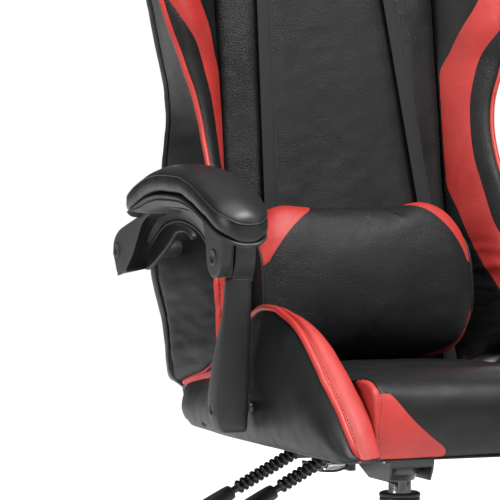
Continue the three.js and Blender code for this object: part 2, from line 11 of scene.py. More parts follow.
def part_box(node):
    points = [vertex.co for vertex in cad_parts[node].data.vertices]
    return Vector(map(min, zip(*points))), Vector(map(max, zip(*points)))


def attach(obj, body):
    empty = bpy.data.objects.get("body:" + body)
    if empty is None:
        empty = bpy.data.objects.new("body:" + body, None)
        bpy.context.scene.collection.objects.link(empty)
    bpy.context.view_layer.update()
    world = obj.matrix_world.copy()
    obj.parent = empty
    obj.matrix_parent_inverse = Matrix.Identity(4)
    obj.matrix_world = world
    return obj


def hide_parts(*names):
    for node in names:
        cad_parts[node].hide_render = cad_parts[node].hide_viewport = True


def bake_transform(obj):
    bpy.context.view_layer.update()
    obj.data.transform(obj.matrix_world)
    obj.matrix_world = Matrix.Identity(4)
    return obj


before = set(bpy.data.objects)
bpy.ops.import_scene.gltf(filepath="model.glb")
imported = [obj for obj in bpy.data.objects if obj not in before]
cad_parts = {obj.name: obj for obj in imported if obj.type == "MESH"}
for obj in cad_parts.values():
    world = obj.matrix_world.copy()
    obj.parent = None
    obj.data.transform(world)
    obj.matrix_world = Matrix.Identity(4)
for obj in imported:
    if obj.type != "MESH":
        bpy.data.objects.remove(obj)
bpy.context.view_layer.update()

MM = 0.001
low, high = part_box("gas_tube")
COLUMN_Y = (low[1] + high[1]) / 2
LEAN = math.radians(9)
BACK_Y, BACK_Z = 152, 440  # the foot of the backrest's face
scene = bpy.context.scene
scene.view_settings.view_transform = "Standard"

# ---------- numbers and points ----------


def place(p):
    return Vector((p[0] * MM, p[1] * MM + COLUMN_Y, p[2] * MM))


def on_back(x, s, t):
    """x across, s up the backrest, t behind the face of its middle panel."""
    return (x, BACK_Y + s * math.sin(LEAN) + t * math.cos(LEAN),
            BACK_Z + s * math.cos(LEAN) - t * math.sin(LEAN))


def off_back(v):
    """x, s and t of a mesh's point: the inverse of on_back."""
    x, y, z = measured(v)
    y, z = y - BACK_Y, z - BACK_Z
    return x, z * math.cos(LEAN) + y * math.sin(LEAN), y * math.cos(LEAN) - z * math.sin(LEAN)


def measured(v):
    """The point of a mesh in mm about the column: the inverse of place."""
    return Vector((v.x / MM, (v.y - COLUMN_Y) / MM, v.z / MM))


def read(table, at, column=1):
    """A smooth reading of [at, value ...] rows that never overshoots them."""
    xs = [row[0] for row in table]
    ys = [row[column] for row in table]
    if at <= xs[0]:
        return ys[0]
    if at >= xs[-1]:
        return ys[-1]
    i = bisect(xs, at) - 1

    def grade(k):
        return (ys[k + 1] - ys[k]) / (xs[k + 1] - xs[k])

    def slope(k):
        if k == 0 or k == len(xs) - 1:
            return grade(min(k, len(xs) - 2))
        a, b = grade(k - 1), grade(k)
        return 0 if a * b <= 0 else 2 * a * b / (a + b)

    h = xs[i + 1] - xs[i]
    u = (at - xs[i]) / h
    return (ys[i] * (1 + 2 * u) * (1 - u) ** 2 + ys[i + 1] * u * u * (3 - 2 * u)
            + h * slope(i) * u * (1 - u) ** 2 - h * slope(i + 1) * u * u * (1 - u))


def readings(table, at):
    """All the values of a table at one place."""
    return [read(table, at, column) for column in range(1, len(table[0]))]


def spread(a, b, n):
    return [a + (b - a) * i / n for i in range(n + 1)]


def mixed(a, b, f):
    return a + (b - a) * f


def power(v, e):
    """A power that keeps the sign: it squares off a circle."""
    return math.copysign(abs(v) ** e, v)


def circle(n):
    """The cosine and sine of n even steps round a circle."""
    return [(math.cos(2 * math.pi * k / n), math.sin(2 * math.pi * k / n)) for k in range(n)]


def smooth_line(points, step, closed=False):
    """Points a step apart along a Catmull-Rom curve through the given ones."""
    p = [Vector(q) for q in points]
    n = len(p)
    fine = []
    for i in range(n if closed else n - 1):
        if closed:
            a, b, c, d = (p[(i + k) % n] for k in (-1, 0, 1, 2))
        else:
            b, c = p[i], p[i + 1]
            a = p[i - 1] if i else b * 2 - c
            d = p[i + 2] if i + 2 < n else c * 2 - b
        count = max(4, int((c - b).length / step * 2))
        for k in range(count):
            u = k / count
            fine.append(0.5 * ((2 * b) + (c - a) * u + (2 * a - 5 * b + 4 * c - d) * u * u
                               + (3 * b - a - 3 * c + d) * u ** 3))
    fine.append(p[0].copy() if closed else p[-1].copy())
    total = [0.0]
    for a, b in zip(fine, fine[1:]):
        total.append(total[-1] + (b - a).length)
    steps = max(2, round(total[-1] / step))
    out, k = [], 0
    for i in range(steps + (0 if closed else 1)):
        at = total[-1] * i / steps
        while k < len(total) - 2 and total[k + 1] < at:
            k += 1
        span = total[k + 1] - total[k] or 1
        out.append(fine[k].lerp(fine[k + 1], min(1, max(0, (at - total[k]) / span))))
    return out


def along(points, n):
    """n + 1 points evenly along a smooth line, as tuples."""
    size = sum((Vector(b) - Vector(a)).length for a, b in zip(points, points[1:]))
    line = smooth_line(points, size / n)
    while len(line) > n + 1:
        line.pop(-2)
    while len(line) < n + 1:
        line.insert(-1, line[-2].lerp(line[-1], 0.5))
    return [tuple(v) for v in line]


# ---------- materials ----------


class Shader:
    """A material under construction; its methods add nodes and return their output."""

    def __init__(self, name):
        self.mat = bpy.data.materials.new(name)
        self.mat.use_nodes = True
        self.tree = self.mat.node_tree
        self.bsdf = self.tree.nodes["Principled BSDF"]
        self.at = self.node("TexCoord").outputs["Object"]

    def node(self, kind, sockets=(), **settings):
        """A new node; sockets maps input names or numbers to values or to other nodes' outputs."""
        made = self.tree.nodes.new("ShaderNode" + kind)
        for key, value in settings.items():
            setattr(made, key, value)
        for key, value in dict(sockets).items():
            self.feed(made.inputs[key], value)
        return made

    def feed(self, socket, value):
        if isinstance(value, bpy.types.NodeSocket):
            self.tree.links.new(value, socket)
        else:
            socket.default_value = value

    def set(self, **values):
        for key, value in values.items():
            self.feed(self.bsdf.inputs[key.replace("_", " ")], value)

    def mapped(self, scale=(1, 1, 1), turn=(0, 0, 0), vector=None):
        return self.node("Mapping", {"Vector": vector or self.at, "Scale": scale,
                                     "Rotation": turn}).outputs[0]

    def noise(self, scale, detail=2, vector=None, distortion=0.0):
        return self.node("TexNoise", {"Vector": vector or self.at, "Scale": scale, "Detail": detail,
                                      "Distortion": distortion}).outputs["Fac"]

    def cells(self, scale, vector):
        return self.node("TexVoronoi", {"Vector": vector, "Scale": scale},
                         feature="DISTANCE_TO_EDGE").outputs["Distance"]

    def wave(self, scale, vector, distortion=0.0, direction="X"):
        return self.node("TexWave", {"Vector": vector, "Scale": scale, "Distortion": distortion},
                         wave_type="BANDS", bands_direction=direction).outputs["Fac"]

    def math(self, op, a, b=0.0):
        return self.node("Math", {0: a, 1: b}, operation=op).outputs[0]

    def span(self, value, a, b, lo=0.0, hi=1.0):
        return self.node("MapRange", {"Value": value, "From Min": a, "From Max": b, "To Min": lo,
                                      "To Max": hi}, interpolation_type="SMOOTHSTEP").outputs["Result"]

    def blend(self, fac, a, b):
        a, b = ((*c, 1) if isinstance(c, tuple) else c for c in (a, b))
        return self.node("MixRGB", {0: fac, 1: a, 2: b}).outputs[0]

    def shifted(self, amount, scale):
        """The object's coordinates pushed about by a coloured noise."""
        push = self.node("TexNoise", {"Vector": self.at, "Scale": scale}).outputs["Color"]
        size = self.node("VectorMath", {0: push, "Scale": amount}, operation="SCALE").outputs[0]
        return self.node("VectorMath", {0: self.at, 1: size}, operation="ADD").outputs[0]

    def bump(self, *layers):
        """layers of (height, strength, distance in mm), stacked onto the normal."""
        normal = None
        for height, strength, distance in layers:
            below = {"Normal": normal} if normal else {}
            normal = self.node("Bump", {"Height": height, "Strength": strength,
                                        "Distance": distance * MM, **below}).outputs[0]
        self.set(Normal=normal)

    def worn(self):
        """1 on convex edges and 0 elsewhere."""
        return self.span(self.node("NewGeometry").outputs["Pointiness"], 0.52, 0.60)


def leather(name, dark, light, rough, grain, depth, crease, coat=0.0, shine=0.3):
    s = Shader(name)
    push = s.shifted(1.2 * MM, 420)
    pebble = s.span(s.cells(1000 / grain, push), 0.0, 0.32)
    fine = s.noise(2600 / grain)
    broad = s.noise(11, 4, distortion=0.4)
    fold = s.noise(38, 5, distortion=0.8)
    valley = s.math("SUBTRACT", 1.0, pebble)
    tone = s.blend(s.span(broad, 0.3, 0.72), dark, light)
    tone = s.blend(s.math("MULTIPLY", valley, 0.42), tone, tuple(c * 0.45 for c in dark))
    tone = s.blend(s.math("MULTIPLY", s.worn(), 0.22), tone, tuple(min(1, c * 1.7 + 0.01) for c in light))
    gloss = s.math("ADD", s.span(broad, 0.25, 0.75, rough - 0.05, rough + 0.06),
                   s.math("MULTIPLY", valley, 0.12))
    s.set(Base_Color=tone, Roughness=gloss)
    s.set(Specular_IOR_Level=shine, Coat_Weight=coat, Coat_Roughness=0.28)
    height = s.math("ADD", s.math("MULTIPLY", pebble, 0.7), s.math("MULTIPLY", fine, 0.3))
    s.bump((fold, crease, 2.2), (height, depth, 0.28))
    return s.mat


def plastic(name, colour, rough, speckle=0.3, wear=0.3):
    s = Shader(name)
    grit = s.noise(1900, 3)
    cloud = s.noise(16, 4, distortion=0.5)
    scuff = s.span(s.noise(240, 3, s.mapped((1, 6, 1), (0.3, 0.2, 0.6))), 0.66, 0.8)
    tone = s.blend(s.span(cloud, 0.3, 0.7), colour, tuple(c * 1.5 + 0.002 for c in colour))
    tone = s.blend(s.math("MULTIPLY", s.worn(), wear), tone, tuple(c * 3 + 0.02 for c in colour))
    s.set(Base_Color=tone, Specular_IOR_Level=0.32)
    s.set(Roughness=s.math("SUBTRACT", s.span(cloud, 0.3, 0.7, rough, rough + 0.1),
                           s.math("MULTIPLY", scuff, 0.10)))
    s.bump((cloud, 0.05, 2.0), (grit, speckle, 0.16))
    return s.mat


def metal(name, colour, rough, paint=False):
    s = Shader(name)
    streak = s.noise(90, 3, s.mapped((1, 1, 40)))
    cloud = s.noise(30, 3)
    tone = s.blend(s.span(cloud, 0.35, 0.7), colour, tuple(min(1, c * 1.25) for c in colour))
    tone = s.blend(s.math("MULTIPLY", s.worn(), 0.35), tone, tuple(min(1, c * 1.6 + 0.03) for c in colour))
    s.set(Base_Color=tone, Metallic=0.0 if paint else 1.0,
          Roughness=s.span(streak, 0.3, 0.7, rough - 0.04, rough + 0.08))
    s.bump((cloud, 0.08, 0.8), (streak, 0.06, 0.1))
    return s.mat


def twill(name, colour, light, pitch, tilt=0.72):
    s = Shader(name)
    lean = s.mapped((1, 1, 1), (-LEAN, 0, 0))
    rib = s.wave(156.25 / pitch, s.mapped(turn=(0, tilt, 0), vector=lean))
    weft = s.wave(1000 / 6.28, lean, direction="Z")
    weave = s.math("MULTIPLY", rib, s.math("ADD", 0.6, s.math("MULTIPLY", weft, 0.4)))
    fuzz = s.noise(1500, 3)
    tone = s.blend(weave, colour, light)
    tone = s.blend(s.math("MULTIPLY", s.span(fuzz, 0.5, 0.8), 0.3), tone, tuple(c * 1.5 for c in light))
    s.set(Base_Color=tone, Roughness=0.7, Specular_IOR_Level=0.25, Sheen_Weight=0.12, Sheen_Roughness=0.4)
    s.bump((weave, 0.6, 0.5), (fuzz, 0.25, 0.15))
    return s.mat


def thread(name, colour):
    s = Shader(name)
    ply = s.wave(420, s.mapped((1, 1, 1), (0.5, 0.5, 0.5)))
    s.set(Base_Color=s.blend(ply, colour, tuple(c * 1.8 for c in colour)), Roughness=0.7,
          Specular_IOR_Level=0.15, Sheen_Weight=0.04)
    s.bump((ply, 0.4, 0.1))
    return s.mat


def plywood(name):
    s = Shader(name)
    ring = s.wave(60, s.mapped((1, 0.15, 6)), 3.0)
    s.set(Base_Color=s.blend(ring, (0.42, 0.26, 0.12), (0.55, 0.37, 0.19)), Roughness=0.6)
    s.bump((ring, 0.2, 0.3))
    return s.mat


GRAINY = leather("grainy_black", (0.0030, 0.0029, 0.0028), (0.0056, 0.0055, 0.0053), 0.42, 2.4, 1.0, 0.35,
                 shine=0.19)
SMOOTH = leather("smooth_black", (0.0030, 0.0033, 0.0035), (0.0055, 0.0060, 0.0063), 0.36, 1.2, 0.28, 0.22,
                 shine=0.18)
PAD = leather("pad_black", (0.0030, 0.0032, 0.0035), (0.0050, 0.0053, 0.0058), 0.38, 1.0, 0.14, 0.18, 0.1,
              shine=0.26)
RED = leather("red_leather", (0.255, 0.015, 0.012), (0.335, 0.027, 0.022), 0.42, 1.3, 0.40, 0.25, shine=0.26)
PIPE = leather("piping_red", (0.265, 0.016, 0.013), (0.350, 0.028, 0.022), 0.36, 1.0, 0.20, 0.25, shine=0.28)
NYLON = plastic("moulded_nylon", (0.0045, 0.0048, 0.0052), 0.48)
GLOSSY = plastic("glossy_rubber", (0.0030, 0.0030, 0.0032), 0.18, 0.06, 0.15)
WHEEL = plastic("wheel_tread", (0.0090, 0.0090, 0.0095), 0.42, 0.15)
STEEL = metal("black_steel", (0.0075, 0.0075, 0.0080), 0.38, paint=True)
CHROME = metal("polished_steel", (0.62, 0.63, 0.64), 0.12)
ZINC = metal("zinc_steel", (0.42, 0.42, 0.43), 0.30)
STRAP = twill("twill_webbing", (0.0026, 0.0028, 0.0031), (0.0068, 0.0076, 0.0086), 0.95)
LINING = twill("lining_cloth", (0.0050, 0.0050, 0.0052), (0.010, 0.010, 0.0105), 1.1, 0.0)
BLACK_THREAD = thread("black_thread", (0.0015, 0.0015, 0.0017))
GREY_THREAD = thread("grey_thread", (0.020, 0.019, 0.018))
RED_THREAD = thread("red_thread", (0.07, 0.006, 0.005))
# paddle plastic: a lighter, glossier copy of the moulded nylon; its lighter grey-blue colour is partly the
# plastic's own tone and partly a painted highlight for the top faces lit from above
PADDLE_WITH_PAINTED_HIGHLIGHT = plastic("paddle_plastic", (0.0090, 0.0100, 0.0108), 0.30, 0.12)
WOOD = plywood("plywood")

# ---------- meshes ----------


def link(name, mesh, materials):
    for m in materials:
        mesh.materials.append(m)
    ob = bpy.data.objects.new(name, mesh)
    scene.collection.objects.link(ob)
    return ob


def built(name, points, faces, materials, index=None, smooth=True):
    mesh = bpy.data.meshes.new(name)
    mesh.from_pydata([place(p) for p in points], [], faces)
    if index:
        mesh.polygons.foreach_set("material_index", index)
    bm = bmesh.new()
    bm.from_mesh(mesh)
    bmesh.ops.remove_doubles(bm, verts=bm.verts, dist=1e-6)
    bmesh.ops.recalc_face_normals(bm, faces=bm.faces)
    for f in bm.faces:
        f.smooth = smooth
    bm.to_mesh(mesh)
    bm.free()
    return link(name, mesh, materials)


def skin(name, rings, materials, pick=None, smooth=True, loop=False):
    """A closed skin over rings of [x, y, z]; pick(i, j) is the material of a face."""
    n = len(rings[0])
    points = [p for ring in rings for p in ring]
    faces, index = [], []
    for i in range(len(rings) if loop else len(rings) - 1):
        a, b = i * n, ((i + 1) % len(rings)) * n
        for j in range(n):
            k = (j + 1) % n
            faces.append((a + j, a + k, b + k, b + j))
            index.append(pick(i, j) if pick else 0)
    if not loop:
        for start in (0, (len(rings) - 1) * n):
            middle = [sum(p[k] for p in points[start:start + n]) / n for k in range(3)]
            points.append(middle)
            for j in range(n):
                faces.append((start + j, start + (j + 1) % n, len(points) - 1))
                index.append(pick(0 if start == 0 else len(rings) - 2, j) if pick else 0)
    return built(name, points, faces, materials, index, smooth)


def settled(ob):
    """Replaces the mesh by the one that its modifiers make."""
    graph = bpy.context.evaluated_depsgraph_get()
    graph.update()
    new = bpy.data.meshes.new_from_object(ob.evaluated_get(graph), depsgraph=graph)
    ob.modifiers.clear()
    ob.data = new
    return ob


def subdivided(ob):
    m = ob.modifiers.new("subdivision", "SUBSURF")
    m.levels = m.render_levels = 1
    return settled(ob)


def bevelled(ob, width, segments=3, angle=28):
    m = ob.modifiers.new("bevel", "BEVEL")
    m.width, m.segments, m.limit_method = width * MM, segments, "ANGLE"
    m.angle_limit = math.radians(angle)
    settled(ob)
    for f in ob.data.polygons:
        f.use_smooth = True
    w = ob.modifiers.new("normals", "WEIGHTED_NORMAL")
    w.keep_sharp = True
    return settled(ob)


def carved(ob, *cutters, keep=False):
    for c in cutters:
        m = ob.modifiers.new("cut", "BOOLEAN")
        m.object, m.operation, m.solver = c, "DIFFERENCE", "EXACT"
    settled(ob)
    if not keep:
        for c in cutters:
            bpy.data.objects.remove(c, do_unlink=True)
    return ob


def inflated(ob, pinned, pressure, cap, frames, stiff):
    """Cloth under pressure: pinned(point) holds the seams, cap limits the travel in mm."""
    rest = [v.co.copy() for v in ob.data.vertices]
    held = [v.index for v in ob.data.vertices if pinned(v.co)]
    group = ob.vertex_groups.new(name="seams")
    group.add(held, 1.0, "REPLACE")
    m = ob.modifiers.new("cloth", "CLOTH")
    m.settings.quality = 6
    m.settings.tension_stiffness = m.settings.compression_stiffness = stiff
    m.settings.bending_stiffness = 0.8
    m.settings.use_pressure = True
    m.settings.uniform_pressure_force = pressure
    m.settings.effector_weights.gravity = 0
    m.settings.vertex_group_mass = "seams"
    m.point_cache.frame_start, m.point_cache.frame_end = 1, frames
    for f in range(1, frames + 1):
        scene.frame_set(f)
    settled(ob)
    for v, was in zip(ob.data.vertices, rest):
        move = v.co - was
        if move.length > cap * MM:
            v.co = was + move * (cap * MM / move.length)
    scene.frame_set(1)
    ob.vertex_groups.clear()


def ruffled(ob, height, size, where=lambda p: 1.0, squash=(1, 1, 1), seed=0.0):
    """Soft folds: moves points along their normals by a smooth noise."""
    normals = [v.normal.copy() for v in ob.data.vertices]
    for v, n in zip(ob.data.vertices, normals):
        f = where(v.co)
        if f:
            q = Vector([c / (size * MM) * k for c, k in zip(v.co, squash)])
            v.co += n * (noise.noise(q + Vector((seed, 0, 0))) * height * MM * f)
    return ob


def tube(name, line, radius, material, sides=10, squash=1.0, closed=False, up=(0, 0, 1), reach=None):
    """A round bar along points in mm; reach(i, count) scales its radius."""
    p = [Vector(q) for q in line]
    n = len(p)
    rings = []
    side = None
    for i in range(n):
        a = p[(i - 1) % n] if closed or i else p[i]
        b = p[(i + 1) % n] if closed or i < n - 1 else p[i]
        ahead = (b - a).normalized()
        side = (side or Vector(up)) - ahead * (side or Vector(up)).dot(ahead)
        side.normalize()
        other = ahead.cross(side)
        r = radius * (reach(i, n) if reach else 1)
        rings.append([tuple(p[i] + side * (cos * r * squash) + other * (sin * r))
                      for cos, sin in circle(sides)])
    return skin(name, rings, [material], loop=closed)


def turned(name, profile, material, segments=48, centre=(0, 0, 0), axis="z"):
    """A [radius, height] profile turned about an axis through centre."""
    rings = []
    for r, h in profile:
        ring = [(max(r, 0.01) * cos, max(r, 0.01) * sin) for cos, sin in circle(segments)]
        ring = [(h, u, v) if axis == "x" else (u, v, h) for u, v in ring]
        rings.append([tuple(c + d for c, d in zip(centre, q)) for q in ring])
    closed = profile[0] == profile[-1]
    return skin(name, rings[:-1] if closed else rings, [material], loop=closed)


def disc(name, centre, r, x0, x1, material, edge=1.2, dish=0.0, segments=40):
    """A round cover across X with a rounded rim and a slightly dished face towards x1."""
    d = 1 if x1 > x0 else -1
    profile = [(0, x0), (r, x0), (r, x1 - d * edge), (r - edge * 0.3, x1 - d * edge * 0.3),
               (r - edge, x1), (r - edge * 2.2, x1), (r - edge * 2.8, x1 - d * dish), (0, x1 - d * dish)]
    return turned(name, [(a, b - centre[0]) for a, b in profile], material, segments, centre, "x")


def plate(name, points, x0, x1, material, bevel=1.2, segments=2):
    """A side-view outline of [y, z] points between x0 and x1, with rounded edges."""
    n = len(points)
    rings = [[(x, y, z) for y, z in points] for x in (x0, x1)]
    faces = [tuple(range(n)), tuple(range(n, 2 * n))]
    faces += [(j, (j + 1) % n, n + (j + 1) % n, n + j) for j in range(n)]
    ob = built(name, rings[0] + rings[1], faces, [material], smooth=False)
    return bevelled(ob, bevel, segments)


def block(name, x, y, z, material, bevel=1.0):
    points = [(y[0], z[0]), (y[1], z[0]), (y[1], z[1]), (y[0], z[1])]
    return plate(name, points, x[0], x[1], material, bevel)


def joined(name, *parts):
    """One object from several, with its materials kept."""
    mesh = bpy.data.meshes.new(name)
    bm = bmesh.new()
    materials = list(dict.fromkeys(m for ob in parts for m in ob.data.materials))
    for ob in parts:
        first = len(bm.faces)
        bm.from_mesh(ob.data)
        bm.faces.ensure_lookup_table()
        own = [materials.index(m) for m in ob.data.materials]
        for f in bm.faces[first:]:
            f.material_index = own[f.material_index]
    bm.to_mesh(mesh)
    bm.free()
    for ob in parts:
        bpy.data.objects.remove(ob, do_unlink=True)
    return link(name, mesh, materials)


STITCH = [(-0.5, 0.35), (-0.36, 0.9), (0, 1.05), (0.36, 0.9), (0.5, 0.35)]  # place along a thread, thickness


def tree_of(ob):
    return BVHTree.FromObject(ob, bpy.context.evaluated_depsgraph_get())


def stitches(name, surface, lines, material, pitch, length, radius, body, lift=0.25):
    """Threads laid on a finished surface along lines of points in mm."""
    tree = tree_of(surface)
    points, faces = [], []
    for line in lines:
        centres = smooth_line(line, pitch)
        for a, b in zip(centres, centres[1:]):
            ahead = (b - a).normalized()
            base, normal = on_surface(tree, a.lerp(b, 0.5))
            side = ahead.cross(normal).normalized()
            rise = side.cross(ahead).normalized()
            first = len(points)
            for i, (u, f) in enumerate(STITCH):
                bow = (0.25 - u * u) * 4 * lift * 1.6 - lift
                points += [tuple(base + ahead * (u * length) + side * (cos * radius * f)
                                 + rise * (sin * radius * f + bow)) for cos, sin in circle(6)]
                if i:
                    for k in range(6):
                        c, d = first + (i - 1) * 6, first + i * 6
                        faces.append((c + k, c + (k + 1) % 6, d + (k + 1) % 6, d + k))
            faces.append(tuple(range(first + 5, first - 1, -1)))
            faces.append(tuple(range(first + 24, first + 30)))
    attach(built(name, points, faces, [material]), body)


def on_surface(tree, p):
    """The nearest surface point and its normal, both in mm about the column."""
    at, normal, _, _ = tree.find_nearest(place(p))
    return measured(at), normal.normalized()


def set_piece(ob, body, slot, *nodes, fill=None):
    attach(ob, body)
    if nodes:
        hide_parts(*nodes)
    return ob


def sides():
    """The chair's left, drawn at +X, and its right."""
    return ((1, "left"), (-1, "right"))


def flipped(points, side):
    return [(p[0] * side, *p[1:]) for p in points]


# ---------- seat ----------

SEAT_SEAM = [(-351, 186), (-330, 186), (-306, 187), (-285, 188), (-240, 181), (-200, 172), (-60, 166),
             (141, 164)]
SEAT_SIDE = [  # y, height, outer half width, half widths of the piping and of the band's inner edge
    (-355, 392, 222, 213, 188), (-348, 403, 228, 217, 187), (-331, 426, 235, 220, 187),
    (-306, 452, 238, 222, 189), (-280, 477, 240, 224, 192), (-253, 499, 242, 225, 196),
    (-226, 518, 243, 225, 201), (-206, 530, 244, 226, 206), (-180, 540, 245, 228, 212),
    (-155, 546, 246, 230, 217), (-133, 546, 247, 231, 219), (-90, 534, 247, 231, 216),
    (-40, 499, 247, 231, 210), (10, 467, 245, 230, 206), (55, 452, 241, 228, 202),
    (100, 446, 239, 229, 198), (132, 438, 234, 228, 194), (141, 433, 229, 224, 190)]
SEAT_TOP = [(-336, 425), (-333.5, 449), (-328, 463), (-316, 471.5), (-290, 475.5), (-200, 469), (-100, 462),
            (60, 459), (110, 455), (133, 442)]
SEAT_LOW = 385


def seat_half(y):
    return read(SEAT_SEAM, y) - 0.4


def seat_centre():
    """Loops in the side view, repeated across X, so that the red corners are cut along the grid."""
    front = along([(-322, SEAT_LOW + 1), (-331, 396)] + SEAT_TOP[:5], 22)
    rear = along(SEAT_TOP[4:] + [(135, 420), (131, SEAT_LOW + 1)], 46)
    under = along([(131, SEAT_LOW + 1), (-322, SEAT_LOW + 1)], 10)
    loop = front + rear[1:] + under[1:-1]
    patch = [(385, 97), (396, 95), (402, 103), (414, 120), (427, 136), (442, 151), (455, 162), (462, 170),
             (468, 180)]
    sewn = [(385, 180), (418, 184), (445, 181), (460, 178), (475, 178)]
    gusset_end = [(172, -318), (178, -311), (184, -298), (190, -286)]
    sewn_at, patch_at = 4, 9  # columns of the sewn line and of the red corner's edge, from each side

    def across(y, z, k):
        half = seat_half(y)
        line = min(read(sewn, z) if y < -270 else half - 8, half - 4)
        inner = min(read(patch, z) if k < len(front) and y < -290 else 999, line - 4)
        left = spread(-half, -line, sewn_at) + spread(-line, -inner, patch_at - sewn_at)[1:]
        return left + spread(-inner, inner, 28)[1:-1] + [-x for x in left[::-1]], inner, line, half

    columns = len(across(-300, 400, 0)[0])
    rings = []
    for i in range(columns):
        ring = []
        for k, (y, z) in enumerate(loop):
            xs, inner, line, half = across(y, z, k)
            x = xs[i]
            near = min(1.0, (half - abs(x)) / 16)
            dip = 5.0 * (1 - math.sqrt(max(0, 1 - (1 - near) ** 2)))
            seam = 1.6 if i in (patch_at, columns - 1 - patch_at) and inner < line - 6 else 0
            seam += 2.2 if i in (sewn_at, columns - 1 - sewn_at) and y < -285 else 0
            top = z > SEAT_LOW + 3
            inward = dip + seam if top else 0
            ring.append((x, y + (inward if y < -310 else 0) * 0.8, z - (inward if y > -325 else 0)))
        rings.append(ring)
    cut_off = {k for k, (y, z) in enumerate(loop) if k < len(front) and y < -290
               and read(patch, z) < read(sewn, z) - 5}

    def pick(i, k):
        j = min(i, columns - 2 - i)
        y = (loop[k][0] + loop[(k + 1) % len(loop)][0]) / 2
        if j < sewn_at:
            edge = mixed(178, 190, (sewn_at - 0.5 - j) / sewn_at)
            return 1 if y < read(gusset_end, edge) and k < len(front) + 12 else 0
        return 1 if j < patch_at and k in cut_off and k + 1 in cut_off else 0

    ob = skin("seat_centre", rings, [SMOOTH, RED], pick)

    def seam(p):
        x, y, z = measured(p)
        sewn_here = y < -288 and abs(abs(x) - read(sewn, z)) < 1.5
        return z < SEAT_LOW + 8 or abs(x) > seat_half(y) - 3 or y > 128 or sewn_here
    inflated(ob, seam, 3.0, 7, 16, 20)
    subdivided(ob)
    ruffled(ob, 1.6, 60, lambda p: 1 if p.z > 0.40 else 0, (1, 0.8, 1), 3)
    ruffled(ob, 0.5, 18, lambda p: 1 if p.z > 0.40 else 0, (1, 1, 1), 7)
    set_piece(ob, "seat", "black_upholstery", "seat_cushion", fill=0.8)
    corner = ((-331, 396), (-334, 420), (-333, 445), (-327, 459), (-316, 467))
    lines = [[(side * (read(sewn, z) - 3), y, z) for y, z in corner] for side, _ in sides()]
    stitches("seat_corner_stitches", ob, lines, RED_THREAD, 4.4, 3.0, 0.35, "seat")


def bolster_ring(y):
    """The side cushion's section: underside, outer side, piped edge, band, inner side."""
    z, outer, piped, crest = readings(SEAT_SIDE, y)
    inner = read(SEAT_SEAM, y) + 0.4
    low = SEAT_LOW + max(0, y - 118) * 0.25 + max(0, -335 - y) * 0.3
    tall = z - low
    top = read([(-355, 410), (-330, 448), (-300, 466), (-60, 463), (120, 455), (141, 430)], y)
    seam = max(low + 2, min(top - 6, z - min(14, tall * 0.5)))
    pipe, ridge = (piped, z - 1.0), (crest, z - min(2, tall * 0.2))
    under = along([(inner, low), (mixed(inner, outer, 0.6), low), (outer - 10, low + 0.5)], 4)
    flank = along([(outer - 10, low + 0.5), (outer - 2.5, low + min(12, tall * 0.2)),
                   (outer + 1, mixed(low, z, 0.42)), (outer - 1, mixed(low, z, 0.68)),
                   (mixed(outer, piped, 0.45), z - min(14, tall * 0.16)), pipe], 14)
    crown = min(4.5, (piped - crest) * 0.2, tall * 0.25)
    band = along([pipe, (piped - 5, z - 3.0), (mixed(piped, crest, 0.45), z + crown * 0.6),
                  (mixed(piped, crest, 0.8), z + crown * 0.3), ridge], 9)
    drop = ridge[1] - seam
    foot = max(inner + 1.5, crest - 4)
    inside = along([ridge, (mixed(crest, foot, 0.7), ridge[1] - min(7, drop * 0.3)),
                    (foot, mixed(ridge[1], seam, 0.55)), (mixed(foot, inner, 0.7), seam + 2),
                    (inner, seam)], 8)
    down = along([(inner, seam), (inner, low)], 3)
    flat = under + flank[1:] + band[1:] + inside[1:] + down[1:-1]
    return [(x, y, z) for x, z in flat]


def seat_side(side, hand):
    ys = [y for y, _ in along([(y, 0) for y in (-355, -340, -319, -286, -206, -133, -60, 10, 100, 141)], 80)]
    rings = [flipped(bolster_ring(y), side) for y in ys]
    flank_end, band_end, inside_end = 4 + 14, 4 + 14 + 9, 4 + 14 + 9 + 8

    def pick(i, j):
        y = (ys[i] + ys[min(i + 1, len(ys) - 1)]) / 2
        if flank_end <= j < band_end:
            return 1 if y < -95 else 0
        if band_end <= j < inside_end:
            return 1 if y < -284 else 0
        return 0

    ob = skin(f"seat_side_{hand}", rings, [SMOOTH, RED], pick)
    pipe_line = [r[flank_end] for r in rings]
    tree_line = [Vector(p) for p in pipe_line]

    def seam(p):
        q = measured(p)
        if q.z < SEAT_LOW + 7 or q.y > 134 or q.y < -350 or abs(q.x) < seat_half(q.y) + 2:
            return True
        return min((q - t).length for t in tree_line) < 2.5
    inflated(ob, seam, 2.5, 4, 14, 20)
    subdivided(ob)

    def gathers(p):
        _, y, z = measured(p)
        return 1 if z > 395 and -345 < y < 130 else 0
    ruffled(ob, 2.2, 75, gathers, (1, 1, 1), 11 + side)
    ruffled(ob, 0.7, 20, gathers, (1, 1, 0.6), 5 + side)
    set_piece(ob, "seat", "black_upholstery", f"seat_bolster_{hand}", fill=0.85)
    tree = tree_of(ob)
    shown = []
    for p in smooth_line(pipe_line, 8):
        at, normal = on_surface(tree, p)
        shown.append(tuple(at + normal * 1.6))
    start = shown[0]
    shown = [(start[0] - side * 4, start[1] + 7, start[2] - 1.5), *shown[1:]]
    pipe = tube(f"seat_piping_{hand}", smooth_line(shown, 7), 4.0, PIPE, 12,
                reach=lambda i, n: min(1, 0.5 + i / 7, 0.6 + (n - i) / 40))
    set_piece(subdivided(pipe), "seat", "red_upholstery")
    groove = [r[flank_end + 2] for r in rings if -344 < r[0][1] < -150]
    stitches(f"seat_band_stitches_{hand}", ob, [groove], RED_THREAD, 4.6, 3.4, 0.46, "seat")
    plug = disc(f"side_plug_{hand}", (0, 46, 398), 5.5, side * 230, side * 240.4, NYLON, 1.0, 0.8)
    set_piece(plug, "seat", "nylon")


